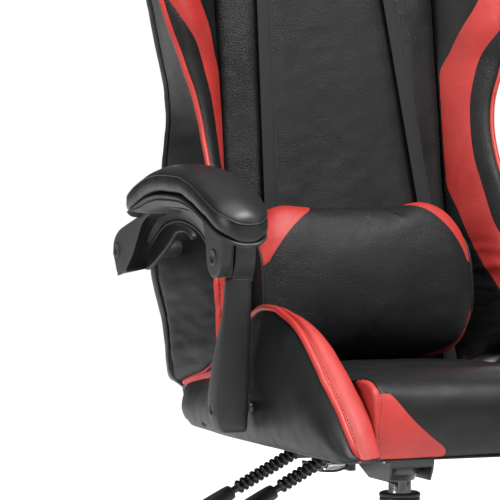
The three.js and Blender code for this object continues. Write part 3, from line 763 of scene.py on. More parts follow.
def seat_rear_piping():
    """Red piping along the top rear edge, from one bolster round to the other."""
    run = [(229, 40, 457), (229, 70, 452.5), (231, 104, 446.5), (231, 126, 441), (229, 137, 438),
           (218, 143, 437), (200, 143.5, 438), (160, 142, 440)]
    line = flipped(run, -1) + run[::-1]
    ob = tube("seat_rear_piping", smooth_line(line, 8), 2.8, PIPE, 10)
    set_piece(ob, "seat", "red_upholstery")


def seat_under():
    """Black lining cloth under the cushion: a thin sheet with its edge turned in."""
    outline = [(-210, -318), (210, -318), (200, -200), (178, -60), (176, 120), (-176, 120),
               (-178, -60), (-200, -200)]
    z0, z1 = SEAT_LOW - 0.6, SEAT_LOW + 2.0
    edge = along(outline + outline[:1], 72)[:-1]
    rings = [[(x * size, y * size + shift, z) for x, y in edge]
             for z, size, shift in ((z1, 1, 0), (z0, 1, 0), (z0, 0.965, -2.5))]
    ob = skin("seat_lining", rings, [LINING])
    set_piece(ob, "seat", "black_upholstery")


seat_centre()
for side, hand in sides():
    seat_side(side, hand)
seat_rear_piping()
seat_under()

# ---------- backrest ----------

BACK_SEAM = [(-8, 153), (600, 153), (700, 131), (790, 113), (800, 97)]
WING = [  # s, half width and depth of the wing's piped front edge, half width of its rear edge
    (-8, 188, 50, 198), (0, 204, 49, 208), (3.5, 208, 45, 213), (6, 205, 20, 217), (10, 204, -25, 220),
    (17, 205, -58, 222), (30, 206, -76, 223), (42, 206, -81, 223),
    (80, 205, -82, 225), (116, 205, -82, 232), (144, 204, -80, 236), (200, 203, -78, 228),
    (239, 201, -70, 220), (266, 200, -60, 216), (306, 201, -50, 210), (344, 206, -46, 205),
    (381, 218, -48, 206), (400, 224, -49, 209), (440, 238, -52, 215), (485, 250, -54, 221),
    (530, 260, -56, 227), (575, 264, -56, 231), (615, 258, -52, 227), (650, 238, -44, 214),
    (690, 208, -32, 191), (735, 186, -24, 174), (770, 168, -16, 158), (790, 146, -4, 138),
    (800, 120, 14, 116)]
WING_FULL = [(-8, 0.55), (390, 0.55), (440, 0.66), (800, 0.62)]
BAND_IN = [(55, 1.0), (72, 0.84), (95, 0.64), (123, 0.45), (158, 0.29), (206, 0.14), (251, 0.0),
           (385, 0.0), (412, 0.14), (438, 0.24), (476, 0.43), (530, 0.56), (575, 0.66), (620, 0.78),
           (660, 0.92), (680, 1.0)]
BAND_OUT = [(140, 1.0), (166, 0.73), (193, 0.58), (227, 0.52), (281, 0.47), (322, 0.48), (355, 0.49),
            (387, 0.53), (412, 0.60), (438, 0.78), (466, 0.92), (482, 1.0)]
BACK_LEVELS = [-8, -4, 0, 2, 3.5, 4.6, 5.4, 6.2, 7.4, 9, 11, 14, 17, 20, 24, 28, *range(34, 130, 7),
               *range(132, 760, 9), 764, 772, 779, 785, 790, 795, 800]


def wing_front(s, q):
    """A point of the wing between its seam (q 0) and its piped edge (q 1), on the chair's left."""
    seam, w, t = read(BACK_SEAM, s), read(WING, s), read(WING, s, 2)
    k = math.pi * read(WING_FULL, s)
    return seam + (w - seam) * q, 2 + (t - 2) * math.sin(k * q) / math.sin(k)


def band_edges(s):
    inner = 1.0 if s < 55 or s > 680 else read(BAND_IN, s)
    outer = read(BAND_OUT, s) if 140 < s < 482 else 1.0
    return min(inner, 0.975), max(min(outer, 1.0), min(inner, 0.975) + 0.015)


def back_side(side, hand):
    counts = (7, 8, 7)
    rings = []
    for s in BACK_LEVELS:
        inner, outer = band_edges(s)
        outer = min(outer, 0.99)
        inner = max(inner, 0.012)
        w, t1, wr = readings(WING, s)
        ring = []
        for (a, b), n in zip(((0, inner), (inner, outer), (outer, 1)), counts):
            for q in spread(a, b, n)[0 if a == 0 else 1:]:
                x, t = wing_front(s, q)
                u = (q - a) / (b - a)
                size = min(1, (b - a) * (w - read(BACK_SEAM, s)) / 30)
                puff = 2.6 * size * math.sin(math.pi * u) ** 0.6 if 0 < u < 1 else 0
                ring.append((x + puff * 0.3, s, t - puff))
        bulge = 7 if 30 < s < 300 else 3
        for u in spread(0, 1, 9)[1:]:
            c = ((w + wr) / 2 + bulge, mixed(t1, 50, 0.5))
            x = (1 - u) ** 2 * w + 2 * u * (1 - u) * c[0] + u * u * wr
            t = (1 - u) ** 2 * t1 + 2 * u * (1 - u) * c[1] + u * u * 50
            ring.append((x, s, t))
        seam = read(BACK_SEAM, s)
        ring += [(mixed(wr, seam, f), s, 50) for f in (0.3, 0.6, 1)] + [(seam, s, 34), (seam, s, 18)]
        rings.append([on_back(x * side, a, t) for x, a, t in ring])
    first, second, third = counts[0], sum(counts[:2]), sum(counts)

    def pick(i, j):
        s = (BACK_LEVELS[i] + BACK_LEVELS[min(i + 1, len(BACK_LEVELS) - 1)]) / 2
        outer = band_edges(s)[1]
        banded = 1 if 55 < s < 680 else 0
        if first <= j < second:
            return banded
        if second <= j < third:
            return 2 if outer < 0.98 else banded
        return 0

    ob = skin(f"back_side_{hand}", rings, [SMOOTH, RED, GRAINY], pick)
    subdivided(ob)

    def wrinkled(p):
        s = (p.z / MM - BACK_Z) / math.cos(LEAN)
        return 0.6 + (1.2 if 20 < s < 160 else 0)
    ruffled(ob, 1.2, 55, wrinkled, (1, 1, 0.6), 2 + side)
    ruffled(ob, 0.5, 14, wrinkled, (1, 0.5, 1.6), 9 + side)

    def gathered(p):
        s = (p.z / MM - BACK_Z) / math.cos(LEAN)
        t = (measured(p).y - BACK_Y - s * math.sin(LEAN)) / math.cos(LEAN)
        return max(0, min(1, (s - 30) / 20, (190 - s) / 40)) if t < 20 and abs(p.x / MM) < 203 else 0
    ruffled(ob, 2.0, 8, gathered, (0.12, 0.12, 1), 15 + side)
    set_piece(ob, "backrest", "black_upholstery", f"back_wing_{hand}", fill=0.9)
    tree = tree_of(ob)

    def edge(s, q=1.0):
        x, t = wing_front(s, q)
        return on_back(x * side, s, t)
    pipe = []
    for s in [v for v in BACK_LEVELS if 3 < v < 799]:
        at, normal = on_surface(tree, edge(s))
        pipe.append(tuple(at + normal * 1.2))
    pipe = tube(f"back_piping_{hand}", smooth_line(pipe, 6), 3.6, PIPE, 12,
                reach=lambda i, n: min(1, 0.68 + i / n * 1.4))
    set_piece(subdivided(pipe), "backrest", "red_upholstery")
    seam_in = [edge(s, 0.985 * band_edges(s)[0] - 0.02) for s in range(96, 250, 8)]
    seam_up = [edge(s, band_edges(s)[0] - 0.02) for s in range(412, 660, 8)]
    seam_out = [edge(s, band_edges(s)[1] + 0.03) for s in range(160, 466, 8)]
    stitches(f"wing_stitches_{hand}", ob, [seam_in, seam_up, seam_out], BLACK_THREAD, 4.4, 3.1, 0.34,
             "backrest")
    ties = [edge(s, 0.955) for s in range(56, 150, 8)]
    stitches(f"wing_gather_stitches_{hand}", ob, [ties], BLACK_THREAD, 6.2, 4.6, 0.5, "backrest")


def slot_ring(side, r, t, steps):
    """The outline of a strap's hole: four rounded corners, each of so many steps."""
    return [on_back(side * HOLE_X + cx * 14 + r * math.cos((start + i / steps) * math.pi / 2),
                    HOLE_S + cs * 7 + r * math.sin((start + i / steps) * math.pi / 2), t)
            for cx, cs, start in ((1, 1, 0), (-1, 1, 1), (-1, -1, 2), (1, -1, 3))
            for i in range(steps + 1)]


def harness_cutter():
    """The two rounded holes for the straps, as one cutting body."""
    return joined("harness_cutter", *(
        skin("cutter", [slot_ring(side, 14, t, 5) for t in (-40, 140)], [NYLON], smooth=False)
        for side, _ in sides()))


LEFT_STRAP, RIGHT_STRAP = (141, 68), (-104, -88.4)  # where each strap runs, low down and at its hole
HOLE_X, HOLE_S = 75, 640  # the middle of a strap's hole
CHANNELS = (566, 712)  # heights of the sewn channels across the middle panel


def strap_x(ends, s):
    return mixed(*ends, (s + 14) / HOLE_S)


def back_centre():
    """The middle panel, with the headrest part marked off by two sewn channels."""
    rings = []
    for s in BACK_LEVELS:
        half = read(BACK_SEAM, s) - 0.4
        ring = []
        edge = max(0, 16 - min(s + 8, 800 - s)) * 1.3
        groove = sum(3.2 * math.exp(-((s - c) / 5.0) ** 2) for c in CHANNELS)
        for x in spread(-half, half, 44):
            near = min(1, (half - abs(x)) / 18)
            dip = 5.5 * (1 - math.sqrt(max(0, 1 - (1 - near) ** 2)))
            for strap in (LEFT_STRAP, RIGHT_STRAP):
                dip += 5.0 * math.exp(-((x + 2 - strap_x(strap, s)) / 15) ** 2) if s < HOLE_S else 0
            ring.append(on_back(x, s, dip + edge + groove * min(1, near * 2) - 2.5))
        ring += [on_back(half, s, t) for t in (16, 32)] + [
            on_back(x, s, 49) for x in spread(half, -half, 6)] + [on_back(-half, s, t) for t in (32, 16)]
        rings.append(ring)
    ob = skin("back_centre", rings, [GRAINY])

    def seam(p):
        x, s, t = off_back(p)
        half = read(BACK_SEAM, s) - 3
        return (abs(x) > half or t > 12 or s < 0 or s > 792
                or min(abs(s - c) for c in CHANNELS) < 4)
    inflated(ob, seam, 2.0, 5, 14, 20)
    subdivided(ob)
    ruffled(ob, 1.6, 70, lambda p: 1, (1, 1, 0.7), 21)
    ruffled(ob, 0.5, 22, lambda p: 1, (1, 1, 1.4), 23)
    return ob


def back_cover():
    """The closed rear cover with its rounded edge and two long seams."""
    rings = []
    for s in BACK_LEVELS:
        wr = read(WING, s, 3)
        edge = min(s + 8, 800 - s)
        t1 = 92 - max(0, 22 - edge) * 1.1
        flat = wr - 40
        rounded = along([(wr - 0.6, 46), (wr + 0.4, 52), (wr + 0.2, 62), (wr - 4, 76), (wr - 16, t1 - 4),
                         (flat, t1)], 12)
        across = [(x, t1 + 2.4 * math.cos(math.pi * x / (2 * flat))
                   - 2.0 * math.exp(-((abs(x) - 118) / 3.4) ** 2)) for x in spread(flat, -flat, 44)]
        front = [(x, 50.4) for x in spread(-wr + 2, wr - 2, 8)]
        ring = rounded + across[1:-1] + flipped(rounded[::-1], -1) + front[1:-1]
        rings.append([on_back(x, s, t) for x, t in ring])
    ob = skin("back_cover", rings, [SMOOTH])
    subdivided(ob)
    ruffled(ob, 1.8, 80, lambda p: 1, (1, 1, 0.6), 31)
    ruffled(ob, 0.6, 20, lambda p: 1, (1, 1, 1.5), 33)
    return ob


def back_details(centre, cover):
    cutter = harness_cutter()
    carved(centre, cutter, keep=True)
    carved(cover, cutter)
    set_piece(centre, "backrest", "black_upholstery", "back_cushion", fill=0.8)
    set_piece(cover, "backrest", "black_upholstery", "back_shell", "back_board", fill=0.9)
    lines = [[on_back(side * (read(BACK_SEAM, s) - 4.0), s, 0) for s in range(2, 790, 10)]
             for side, _ in sides()]
    stitches("centre_stitches", centre, lines, BLACK_THREAD, 5.6, 4.3, 0.62, "backrest", 0.35)
    lines = [[on_back(side * x, s, 95) for s in range(30, 780, 10)]
             for x in (122, 113) for side, _ in sides()]
    stitches("cover_stitches", cover, lines, BLACK_THREAD, 6.0, 4.4, 0.4, "backrest")
    for side, hand in sides():
        strip = [on_back(side * (read(WING, s, 3) - 0.2), s, 50 + 0.07 * max(0, 60 - s))
                 for s in range(-2, 784, 12)]
        ob = tube(f"rear_edge_welt_{hand}", smooth_line(strip, 9), 2.2, SMOOTH, 8,
                  reach=lambda i, n: max(0.45, 1 - i / n * 4))
        set_piece(ob, "backrest", "black_upholstery")
    zip_s, zip_t, count = 34, 93.5, 108
    zip_line = [on_back(x, zip_s, zip_t) for x in spread(-count, count, 24)]
    teeth, faces = [], []
    for i in range(count):
        base = on_back(1 - count + i * 2, zip_s + (1 if i % 2 else -1) * 0.9, zip_t + 1.1)
        n = len(teeth)
        for dx, ds, dt in ((-0.6, -1.6, 0), (0.6, -1.6, 0), (0.6, 1.6, 0), (-0.6, 1.6, 0),
                           (-0.4, -1.2, 1.0), (0.4, -1.2, 1.0), (0.4, 1.2, 1.0), (-0.4, 1.2, 1.0)):
            teeth.append((base[0] + dx, base[1] + dt, base[2] + ds))
        faces += [(n, n + 3, n + 2, n + 1), (n + 4, n + 5, n + 6, n + 7), (n, n + 1, n + 5, n + 4),
                  (n + 1, n + 2, n + 6, n + 5), (n + 2, n + 3, n + 7, n + 6), (n + 3, n, n + 4, n + 7)]
    tape = tube("zip_tape", zip_line, 9, LINING, 12, 0.12, up=on_back(0, 0, 1))
    zipper = joined("rear_zip", tape, built("zip_teeth", teeth, faces, [NYLON]))
    set_piece(zipper, "backrest", "black_upholstery")


def harness_trim(side, hand):
    """Moulded ring set in the harness hole, with a rounded lip at the front and the back."""
    section = [(-5, 90), (-5, -4), (-4, -6.5), (-1.5, -7.6), (2, -7.6), (5, -6), (6.8, -3.5), (7, -1),
               (0, -0.6), (0, 93), (6, 93.4), (6.6, 95.5), (4, 97.2), (0, 97.6), (-3.5, 97), (-5, 95)]
    ob = skin(f"harness_ring_{hand}", [slot_ring(side, 14 + g, t, 6) for g, t in section], [NYLON],
              loop=True)
    set_piece(subdivided(ob), "backrest", "nylon", f"harness_trim_{hand}")


def ribbon(name, line, section, put, closed=False):
    """A woven band: put(centre, point, across) places a point of its [across, height] section."""
    p = [Vector(q) for q in line]
    n = len(p)
    rings = []
    for i in range(n):
        a, b = (p[i - 1], p[(i + 1) % n]) if closed else (p[max(0, i - 1)], p[min(n - 1, i + 1)])
        ahead = (b - a).normalized()
        out = Vector((-ahead.y, ahead.x))
        rings.append([put(p[i], p[i] + out * d, across) for across, d in section])
    return skin(name, rings, [STRAP], loop=closed)


def webbing(name, ends, replaced):
    """Elastic strap: up the front, through its hole, down the back and under the cushion."""
    line = along([(-13, 20), (-13.5, -2), (-6, -10), (60, -12), (200, -12.6), (400, -12.4), (560, -11.6),
                  (612, -11.4), (624.2, -6), (624.8, 20), (624.8, 60), (624.6, 92), (616, 99.5), (560, 97.6),
                  (400, 97), (200, 97), (60, 97), (-4, 96), (-13, 86), (-13, 60), (-13, 30)], 150)
    section = ((-9.4, 0), (-9.0, 0.55), (-5, 0.8), (0, 0.85), (5, 0.8), (9.0, 0.55), (9.4, 0),
               (9.0, -0.55), (5, -0.8), (0, -0.85), (-5, -0.8), (-9.0, -0.55))
    ob = ribbon(name, line, section, lambda c, q, across: on_back(strap_x(ends, c.x) + across, q.x, q.y),
                closed=True)
    set_piece(ob, "backrest", "webbing", replaced)
    x = mixed(*ends, 0.5)
    bars = [[on_back(x + dx, 300 + ds, 99.8) for dx in (-13, 0, 13)] for ds in (-9, 0, 9)]
    bars += [[on_back(x + dx, 300 + ds, 99.8) for ds in (-9, 0, 9)] for dx in (-12.5, 12.5)]
    bars = [tube("bar", bar, 1.7, NYLON, 10) for bar in bars]
    set_piece(joined(name.replace("webbing", "slider"), *bars), "backrest", "nylon")


PILLOW_END = [(0.12, 1.035), (0.45, 1.03), (0.78, 1.018), (0.93, 1.006)]  # size and reach of its end rings


def pillow(name, cx, cs, half_x, half_s, depth, clear, body, node, patch=None):
    """A stuffed roll; patch(angle) gives the seam positions that mark its coloured corners."""
    around = 56
    counts = (7, 30, 7)

    def section(f, angle, grow=1.0):
        full = (1 - min(1, abs(f)) ** 11 * 0.42) * grow
        lift = 7 * math.exp(-((f - 0.62) / 0.2) ** 2) + 4 * math.exp(-((f + 0.74) / 0.2) ** 2)
        rise = power(math.sin(angle), 0.74)
        return (cs + rise * half_s * full + max(0, rise) * lift * grow,
                -clear - depth / 2
                + power(math.cos(angle), 0.74) * (depth / 2) * mixed(1, full, 0.6) * grow ** 0.4)
    angles = [2 * math.pi * j / around for j in range(around)]
    marks = [patch(a) if patch else (-0.9, 0.9, False, False) for a in angles]
    columns = [(seg, i / n) for seg, n in enumerate(counts) for i in range(0 if seg == 0 else 1, n + 1)]
    ends = [[on_back(cx + f * sign * half_x, *section(1, a, grow)) for a in angles]
            for sign, rows in ((-1, PILLOW_END), (1, PILLOW_END[::-1])) for grow, f in rows]
    rings = ends[:len(PILLOW_END)]
    for seg, u in columns:
        ring = []
        for a, (lo, hi, _, _) in zip(angles, marks):
            f = mixed(*((-1, lo), (lo, hi), (hi, 1))[seg], u)
            ring.append(on_back(cx + f * half_x, *section(f, a)))
        rings.append(ring)
    rings += ends[len(PILLOW_END):]

    def pick(i, j):
        k = i - len(PILLOW_END)
        if 0 <= k < counts[0]:
            return 1 if marks[j][2] and marks[(j + 1) % around][2] else 0
        if counts[0] + counts[1] <= k < sum(counts):
            return 1 if marks[j][3] and marks[(j + 1) % around][3] else 0
        return 0
    ob = skin(name, rings, [GRAINY, RED], pick)

    def seam(p):
        return abs(abs(p.x / MM - cx) - half_x) < 0.8
    inflated(ob, seam, 4.0, 7, 18, 18)
    subdivided(ob)
    ruffled(ob, 2.0, 60, lambda p: 1, (0.7, 1, 1), cx)
    ruffled(ob, 0.6, 16, lambda p: 1, (0.4, 1, 1), cx + 5)
    set_piece(ob, body, "pillow_upholstery", node, fill=0.95)
    lines = [[on_back(cx + sign * half_x * 0.985, *section(1, a)) for a in angles + angles[:1]]
             for sign in (1, -1)]
    stitches(name + "_stitches", ob, lines, GREY_THREAD, 4.2, 3.0, 0.36, body)
    for sign, hand in sides():
        line = [on_back(cx + sign * (half_x + 0.4), *section(1, a, 1.003)) for a in angles]
        welt = tube(f"{name}_welt_{hand}", smooth_line(line, 8, closed=True), 1.7, GRAINY, 8, closed=True,
                    up=(1, 0, 0))
        set_piece(welt, body, "pillow_upholstery")


LUMBAR_CORNERS = [  # an angle and the seam there: 0 is the pillow's back, 90 its top, 180 its front
    (-1, [(50, 0.985), (80, 0.44), (112, 0.48), (132, 0.61), (154, 0.82), (169, 0.985)],
     [(206, 0.985), (228, 0.90), (243, 0.75), (264, 0.49), (282, 0.6), (300, 0.985)]),
    (1, [(50, 0.985), (80, 0.54), (98, 0.47), (110, 0.52), (124, 0.62), (138, 0.74), (152, 0.86),
         (168, 0.985)],
     [(206, 0.985), (228, 0.92), (243, 0.76), (264, 0.49), (282, 0.6), (300, 0.985)])]


def lumbar_patch(angle):
    """Where the corner seams of the lumbar pillow cross an angle, and whether each is coloured."""
    deg = math.degrees(angle) % 360
    seams, coloured = [], []
    for sign, *tables in LUMBAR_CORNERS:
        found = [read(table, deg) for table in tables if table[0][0] < deg < table[-1][0]]
        seams.append(sign * (found[0] if found else 0.985))
        coloured.append(bool(found))
    return *seams, *coloured


def head_strap():
    """Elastic band that holds the head pillow, round behind the backrest's top."""
    half, level = 190, 722
    line = [(124, -24), (140, -14), (half - 36, -14), (half - 14, -16), (half + 1, -4), (half + 4, 20),
            (half + 2, 50), (half - 8, 80), (half - 30, 96), (120, 97.6), (0, 99)]
    full = line + flipped(line[-2::-1], -1)
    section = ((-14, 0), (-13.4, -0.6), (-7, -0.9), (7, -0.9), (13.4, -0.6), (14, 0), (13.4, 0.6), (7, 0.9),
               (-7, 0.9), (-13.4, 0.6))
    ob = ribbon("head_strap", along(full, 90), section,
                lambda _, q, across: on_back(q.x, level + across, q.y))
    settled(ob)
    tuple(place(on_back(0, level, 4)))
    tuple(place(on_back(0, level, 44)))
    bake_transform(ob)


for side, hand in sides():
    back_side(side, hand)
    harness_trim(side, hand)
back_details(back_centre(), back_cover())
webbing("webbing_left", LEFT_STRAP, "strap_left")
webbing("webbing_right", RIGHT_STRAP, "strap_right")
pillow("lumbar_roll", -10, 110, 141.5, 96, 100, 13, "lumbar", "lumbar_pillow", lumbar_patch)
pillow("head_roll", 0, 730, 125, 61, 72, 10, "head", "head_pillow")
head_strap()

# ---------- arms ----------

FRONT_PIVOT, TOP_PIVOT, REAR_PIVOT = (-130, 431), (-150, 605), (172, 602)
PAD_LINE = [  # y, top seam, inner and outer edge
    (-239, 644, 285, 304), (-237.5, 646, 280, 309), (-232, 649.5, 273, 316), (-218, 656, 266, 324),
    (-197, 665.5, 261.5, 327), (-170, 677, 260, 328), (-130, 690, 261, 328), (-100, 695, 262, 328),
    (-64, 696, 262, 328), (-40, 696, 262, 328), (1, 692, 262, 328), (40, 682, 262, 328),
    (67, 672, 264, 327), (85, 664, 268, 322), (90, 656, 275, 314)]
PAD_BAND = [(-239, 22), (-150, 22.5), (-100, 21.5), (-60, 20.5), (0, 20.5), (50, 21.0), (72, 18), (90, 12)]
TRAY_TALL = [(-239, 0.36), (-200, 0.42), (-150, 0.62), (-100, 0.88), (-60, 1.0), (20, 1.0), (48, 0.5),
             (62, 0.12), (90, 0.03)]


def band_height(y):
    return read(PAD_BAND, y)


def pad_stations(n):
    """Even steps along the pad's side view, closer together at its two rounded ends."""
    return [y for y, _ in along([row[:2] for row in PAD_LINE], n)]


def pad_edge(side, column, out, up, ys):
    """A line beside the pad's inner (2) or outer (3) seam."""
    return [(side * (read(PAD_LINE, y, column) + out), y, read(PAD_LINE, y) + up) for y in ys]


def arm_pad(side, hand):
    ys = pad_stations(72)
    rings = []
    for y in ys:
        z, inner, outer = readings(PAD_LINE, y)
        w = outer - inner
        low = z - band_height(y)
        puff = min(1, w / 60)
        top = [(outer - w * f, z + 13.5 * puff * math.sin(math.pi * f) ** 0.62) for f in spread(0, 1, 20)]
        wall = [(inner, z), (inner - 1.6, mixed(z, low, 0.27)), (inner - 1.8, mixed(z, low, 0.5)),
                (inner - 0.8, mixed(z, low, 0.77)), (inner + 3, low + 1)]
        floor = [(mixed(inner + 3, outer - 3, f), low) for f in (0.2, 0.5, 0.8)]
        rise = [(outer - 3, low + 1), (outer + 0.8, mixed(z, low, 0.77)), (outer + 1.8, mixed(z, low, 0.5)),
                (outer + 1.6, mixed(z, low, 0.27))]
        rings.append([(side * x, y, h) for x, h in top + wall[1:] + floor + rise])
    ob = skin(f"arm_pad_{hand}", rings, [PAD])

    def seam(p):
        x, y, z = measured(p)
        x = abs(x)
        rim, inner, outer = readings(PAD_LINE, y)
        return (z < rim - band_height(y) + 3 or (abs(z - rim) < 1.2 and (x < inner + 1.5 or x > outer - 1.5))
                or y < -237 or y > 89)
    inflated(ob, seam, 3.0, 3.5, 12, 25)
    subdivided(ob)

    def ridge(p):
        _, y, z = measured(p)
        return 1.0 if z < read(PAD_LINE, y) + 4 else 0.25
    ruffled(ob, 0.9, 34, ridge, (0.4, 1, 0.5), 41)
    ruffled(ob, 0.35, 9, ridge, (0.4, 1, 0.3), 43)
    set_piece(ob, f"arm_{hand}", "pad_upholstery", f"arm_pad_{hand}", fill=0.9)
    lines = [pad_edge(side, column, out, 2.4, ys[3:-3:2]) for column, out in ((2, 1.8), (3, -1.8))]
    stitches(f"pad_stitches_{hand}", ob, lines, BLACK_THREAD, 4.0, 2.9, 0.32, f"arm_{hand}")
    rim = pad_edge(side, 3, 0.3, 0.4, ys) + pad_edge(side, 2, -0.3, 0.4, ys[::-1])
    welt = tube(f"pad_welt_{hand}", smooth_line(rim, 6, closed=True), 0.9, PAD, 8, closed=True)
    set_piece(welt, f"arm_{hand}", "pad_upholstery")


def tray(side):
    """The moulded tray under the pad: two stepped edges that follow its wave."""
    rings = []
    for y in pad_stations(64):
        z, inner, outer = readings(PAD_LINE, y)
        top = z - band_height(y)
        half = [(4, -0.2), (-0.6, -1.2), (-1.2, -2.8), (-0.6, -4.4), (1.8, -5.4), (2.0, -6.4), (0.6, -7.6),
                (0.6, -9.2), (2.6, -10.6), (3.4, -13), (5.4, -15.4), (11, -16)]
        tall = read(TRAY_TALL, y)
        section = [(inner + a, top + b * tall) for a, b in half]
        section += [(outer - a, top + b * tall) for a, b in half[::-1]]
        rings.append([(side * x, y, h) for x, h in section])
    return subdivided(skin("tray", rings, [NYLON]))


ARM_LEG = [  # station, then the y and z of its top, its outer lower edge and its inner lower edge
    (0, -96, 662, -96, 654, -106, 590), (1, -60, 664, -57, 657, -62, 604), (2, -10, 667, 5, 659, 0, 633),
    (3, 45, 662, 50, 652, 52, 640.5), (4, 85, 650, 83, 640, 95, 637), (5, 118, 641, 104, 618, 130, 627),
    (6, 150, 633, 122, 598, 158, 613), (7, 172, 626, 142, 583, 176, 597), (8, 186, 613, 158, 574, 185.5, 583),
    (9, 188.5, 600, 172, 571.5, 188.2, 578)]


def leg_of_arm(side):
    """The rear leg: its outer face, a hollow underside between two ridges, and its inner web."""
    rings, ridge, rim = [], [], []
    for f in spread(0, 9, 54):
        ty, tz, oy, oz, iy, iz = readings(ARM_LEG, f)
        out, back = 304.6, read([(0, 262), (3, 262), (5, 259), (7, 256), (9, 256)], f)
        hollow = read([(0, 3), (1, 6), (3, 9), (5, 12), (7.4, 9), (8.6, 1), (9, 0)], f)
        ring = [(out - 6, ty, tz), (out - 1.8, ty - 0.3, tz - 0.9), (out, ty - 0.6, tz - 3)]
        ring += [(out, mixed(ty, oy, u), mixed(tz, oz, u)) for u in (0.35, 0.6, 0.85)]
        ring += [(out - 1.0, oy, oz), (out - 3.6, oy + 0.4, oz + 0.4)]
        ridge.append((side * (out - 1.4), oy, oz))
        rim.append((side * (back + 4), iy, iz))
        for u, deep in ((0.10, 0.55), (0.22, 0.85), (0.45, 1.0), (0.7, 0.85), (0.84, 0.4)):
            ring.append((mixed(out - 3.6, back, u), mixed(oy, iy, u) + hollow * deep * 0.6,
                         mixed(oz, iz, u) + hollow * deep))
        ring += [(back + 4, iy, iz), (back + 1, iy + 0.4, iz + 0.8), (back, iy + 1.5, iz + 3),
                 (back, mixed(iy, ty, 0.5), mixed(iz, tz, 0.5)), (back, ty, tz - 4), (back + 4, ty, tz)]
        rings.append([(side * x, y, z) for x, y, z in ring])
    leg = bevelled(skin("leg", rings, [NYLON]), 0.8, 2, 40)
    ridge = tube("ridge", smooth_line(ridge, 5), 1.6, NYLON, 8, up=(1, 0, 0))
    rim = tube("rim", smooth_line(rim, 5), 2.0, NYLON, 8, up=(1, 0, 0))
    return leg, ridge, rim


def arm_shell(side, hand):
    fy, fz = TOP_PIVOT
    leg = leg_of_arm(side)
    cheek = along([(fy - 22, fz - 6), (fy - 14, fz - 19), (fy, fz - 24), (fy + 14, fz - 19),
                   (fy + 22, fz - 6), (fy + 25, fz + 12), (fy + 32, fz + 32), (fy + 50, fz + 62),
                   (fy - 4, fz + 70), (fy - 42, fz + 56), (fy - 30, fz + 30), (fy - 24, fz + 12)],
                  44)[:-1]
    cheek = plate("cheek", cheek, side * 288, side * 303, NYLON, 2.6, 4)
    bridge = plate("bridge", [(-157, 604), (-155.6, 588), (-153.4, 583), (-150, 581.4), (-142, 582.8),
                              (-134, 588), (-128, 598), (-118, 650), (-165, 656), (-160, 622)],
                   side * 280.2, side * 289, NYLON, 2.2, 4)
    lip = along([(206, 597), (184.6, 613.5), (154, 623.6), (120, 631), (85, 635.4), (50, 632), (34, 628),
                 (27, 625), (27, 618), (34, 620), (50, 626), (80, 625), (97.5, 614.4), (122, 601.8),
                 (155, 586.6), (187, 575.6), (198, 580)], 60)
    lip = plate("lip", lip, side * 254.6, side * 262, NYLON, 2.2, 4)
    pin = disc("pin", (0, fy, fz), 5.6, side * 276, side * 292, NYLON)
    ob = joined(f"arm_shell_{hand}", tray(side), *leg, cheek, bridge, lip, pin)
    set_piece(ob, f"arm_{hand}", "nylon", f"arm_body_{hand}")
    for name, (y, z), r, x0, x1 in (("top", TOP_PIVOT, 9.5, 299, 304.4),
                                    ("rear", REAR_PIVOT, 9, 298, 306.6)):
        cap = disc(f"arm_cap_{name}_{hand}", (0, y, z), r, side * x0, side * x1, NYLON, 1.3, 0.9)
        set_piece(cap, f"arm_{hand}", "nylon")
    bolt = disc(f"arm_bolt_{hand}", (0, fy, fz), 5.5, side * 262, side * 253.2, STEEL, 0.8, 1.6, 6)
    set_piece(bolt, f"arm_{hand}", "black_steel")


POST = [  # z, outer face at its front and rear edge, front and rear edge
    (403, 283, 281, -133, -118), (407, 289, 287, -137.5, -112), (414, 293, 290.5, -139.5, -109),
    (431, 297, 293, -141, -107.5), (442, 297.5, 293, -142, -107.5), (465, 297, 291, -145, -109),
    (490, 295, 288, -147.5, -112), (510, 293, 284.5, -149, -115), (535, 290.5, 280, -150, -119),
    (555, 289, 277.5, -150.5, -121.5), (570, 288, 276.5, -151, -123), (577, 287.4, 276, -151, -124),
    (580, 286, 275, -150, -125)]


def post(side, hand):
    rings = []
    for z in [403, 404.5, 407, 410, 414, 420] + list(range(431, 571, 8)) + [575, 577, 578.6, 580]:
        outer, tail, front, rear = readings(POST, z)
        inner = 254.4
        section = [(inner, mixed(front, rear, 0.6)), (inner, front + 6), (inner + 1.4, front + 2.4),
                   (inner + 4.6, front + 0.4), (inner + 8, front), (mixed(inner, outer, 0.5), front - 0.5),
                   (outer - 3.4, front), (outer - 1.2, front + 0.5), (outer - 0.2, front + 2.2)]
        section += [(mixed(outer, tail, f) + 1.6 * math.sin(math.pi * f), mixed(front + 2.2, rear, f))
                    for f in (0.2, 0.4, 0.6, 0.8, 0.95)]
        section += [(tail - 3, rear), (mixed(inner, tail, 0.5), rear + 0.4), (inner + 4, rear),
                    (inner + 0.8, rear - 2)]
        rings.append([(side * x, y, z) for x, y in section])
    column = bevelled(skin("column", rings, [NYLON]), 0.9, 2, 32)
    neck = along([(-149.6, 576), (-151.2, 582), (-154.4, 588), (-158, 598), (-159.6, 612), (-160, 624),
                  (-150, 626), (-138, 622), (-132, 608), (-128, 590), (-125, 576), (-138, 575)], 44)
    neck = plate("neck", neck, side * 254.2, side * 279.6, NYLON, 1.6, 3)
    ob = joined(f"arm_leg_{hand}", column, neck)
    set_piece(ob, f"post_{hand}", "nylon", f"arm_post_{hand}")
    by, bz = FRONT_PIVOT
    cap = disc(f"post_cap_{hand}", (0, by, bz), 9.2, side * 288, side * 297.6, NYLON, 1.3, 0.9)
    set_piece(cap, f"post_{hand}", "nylon")


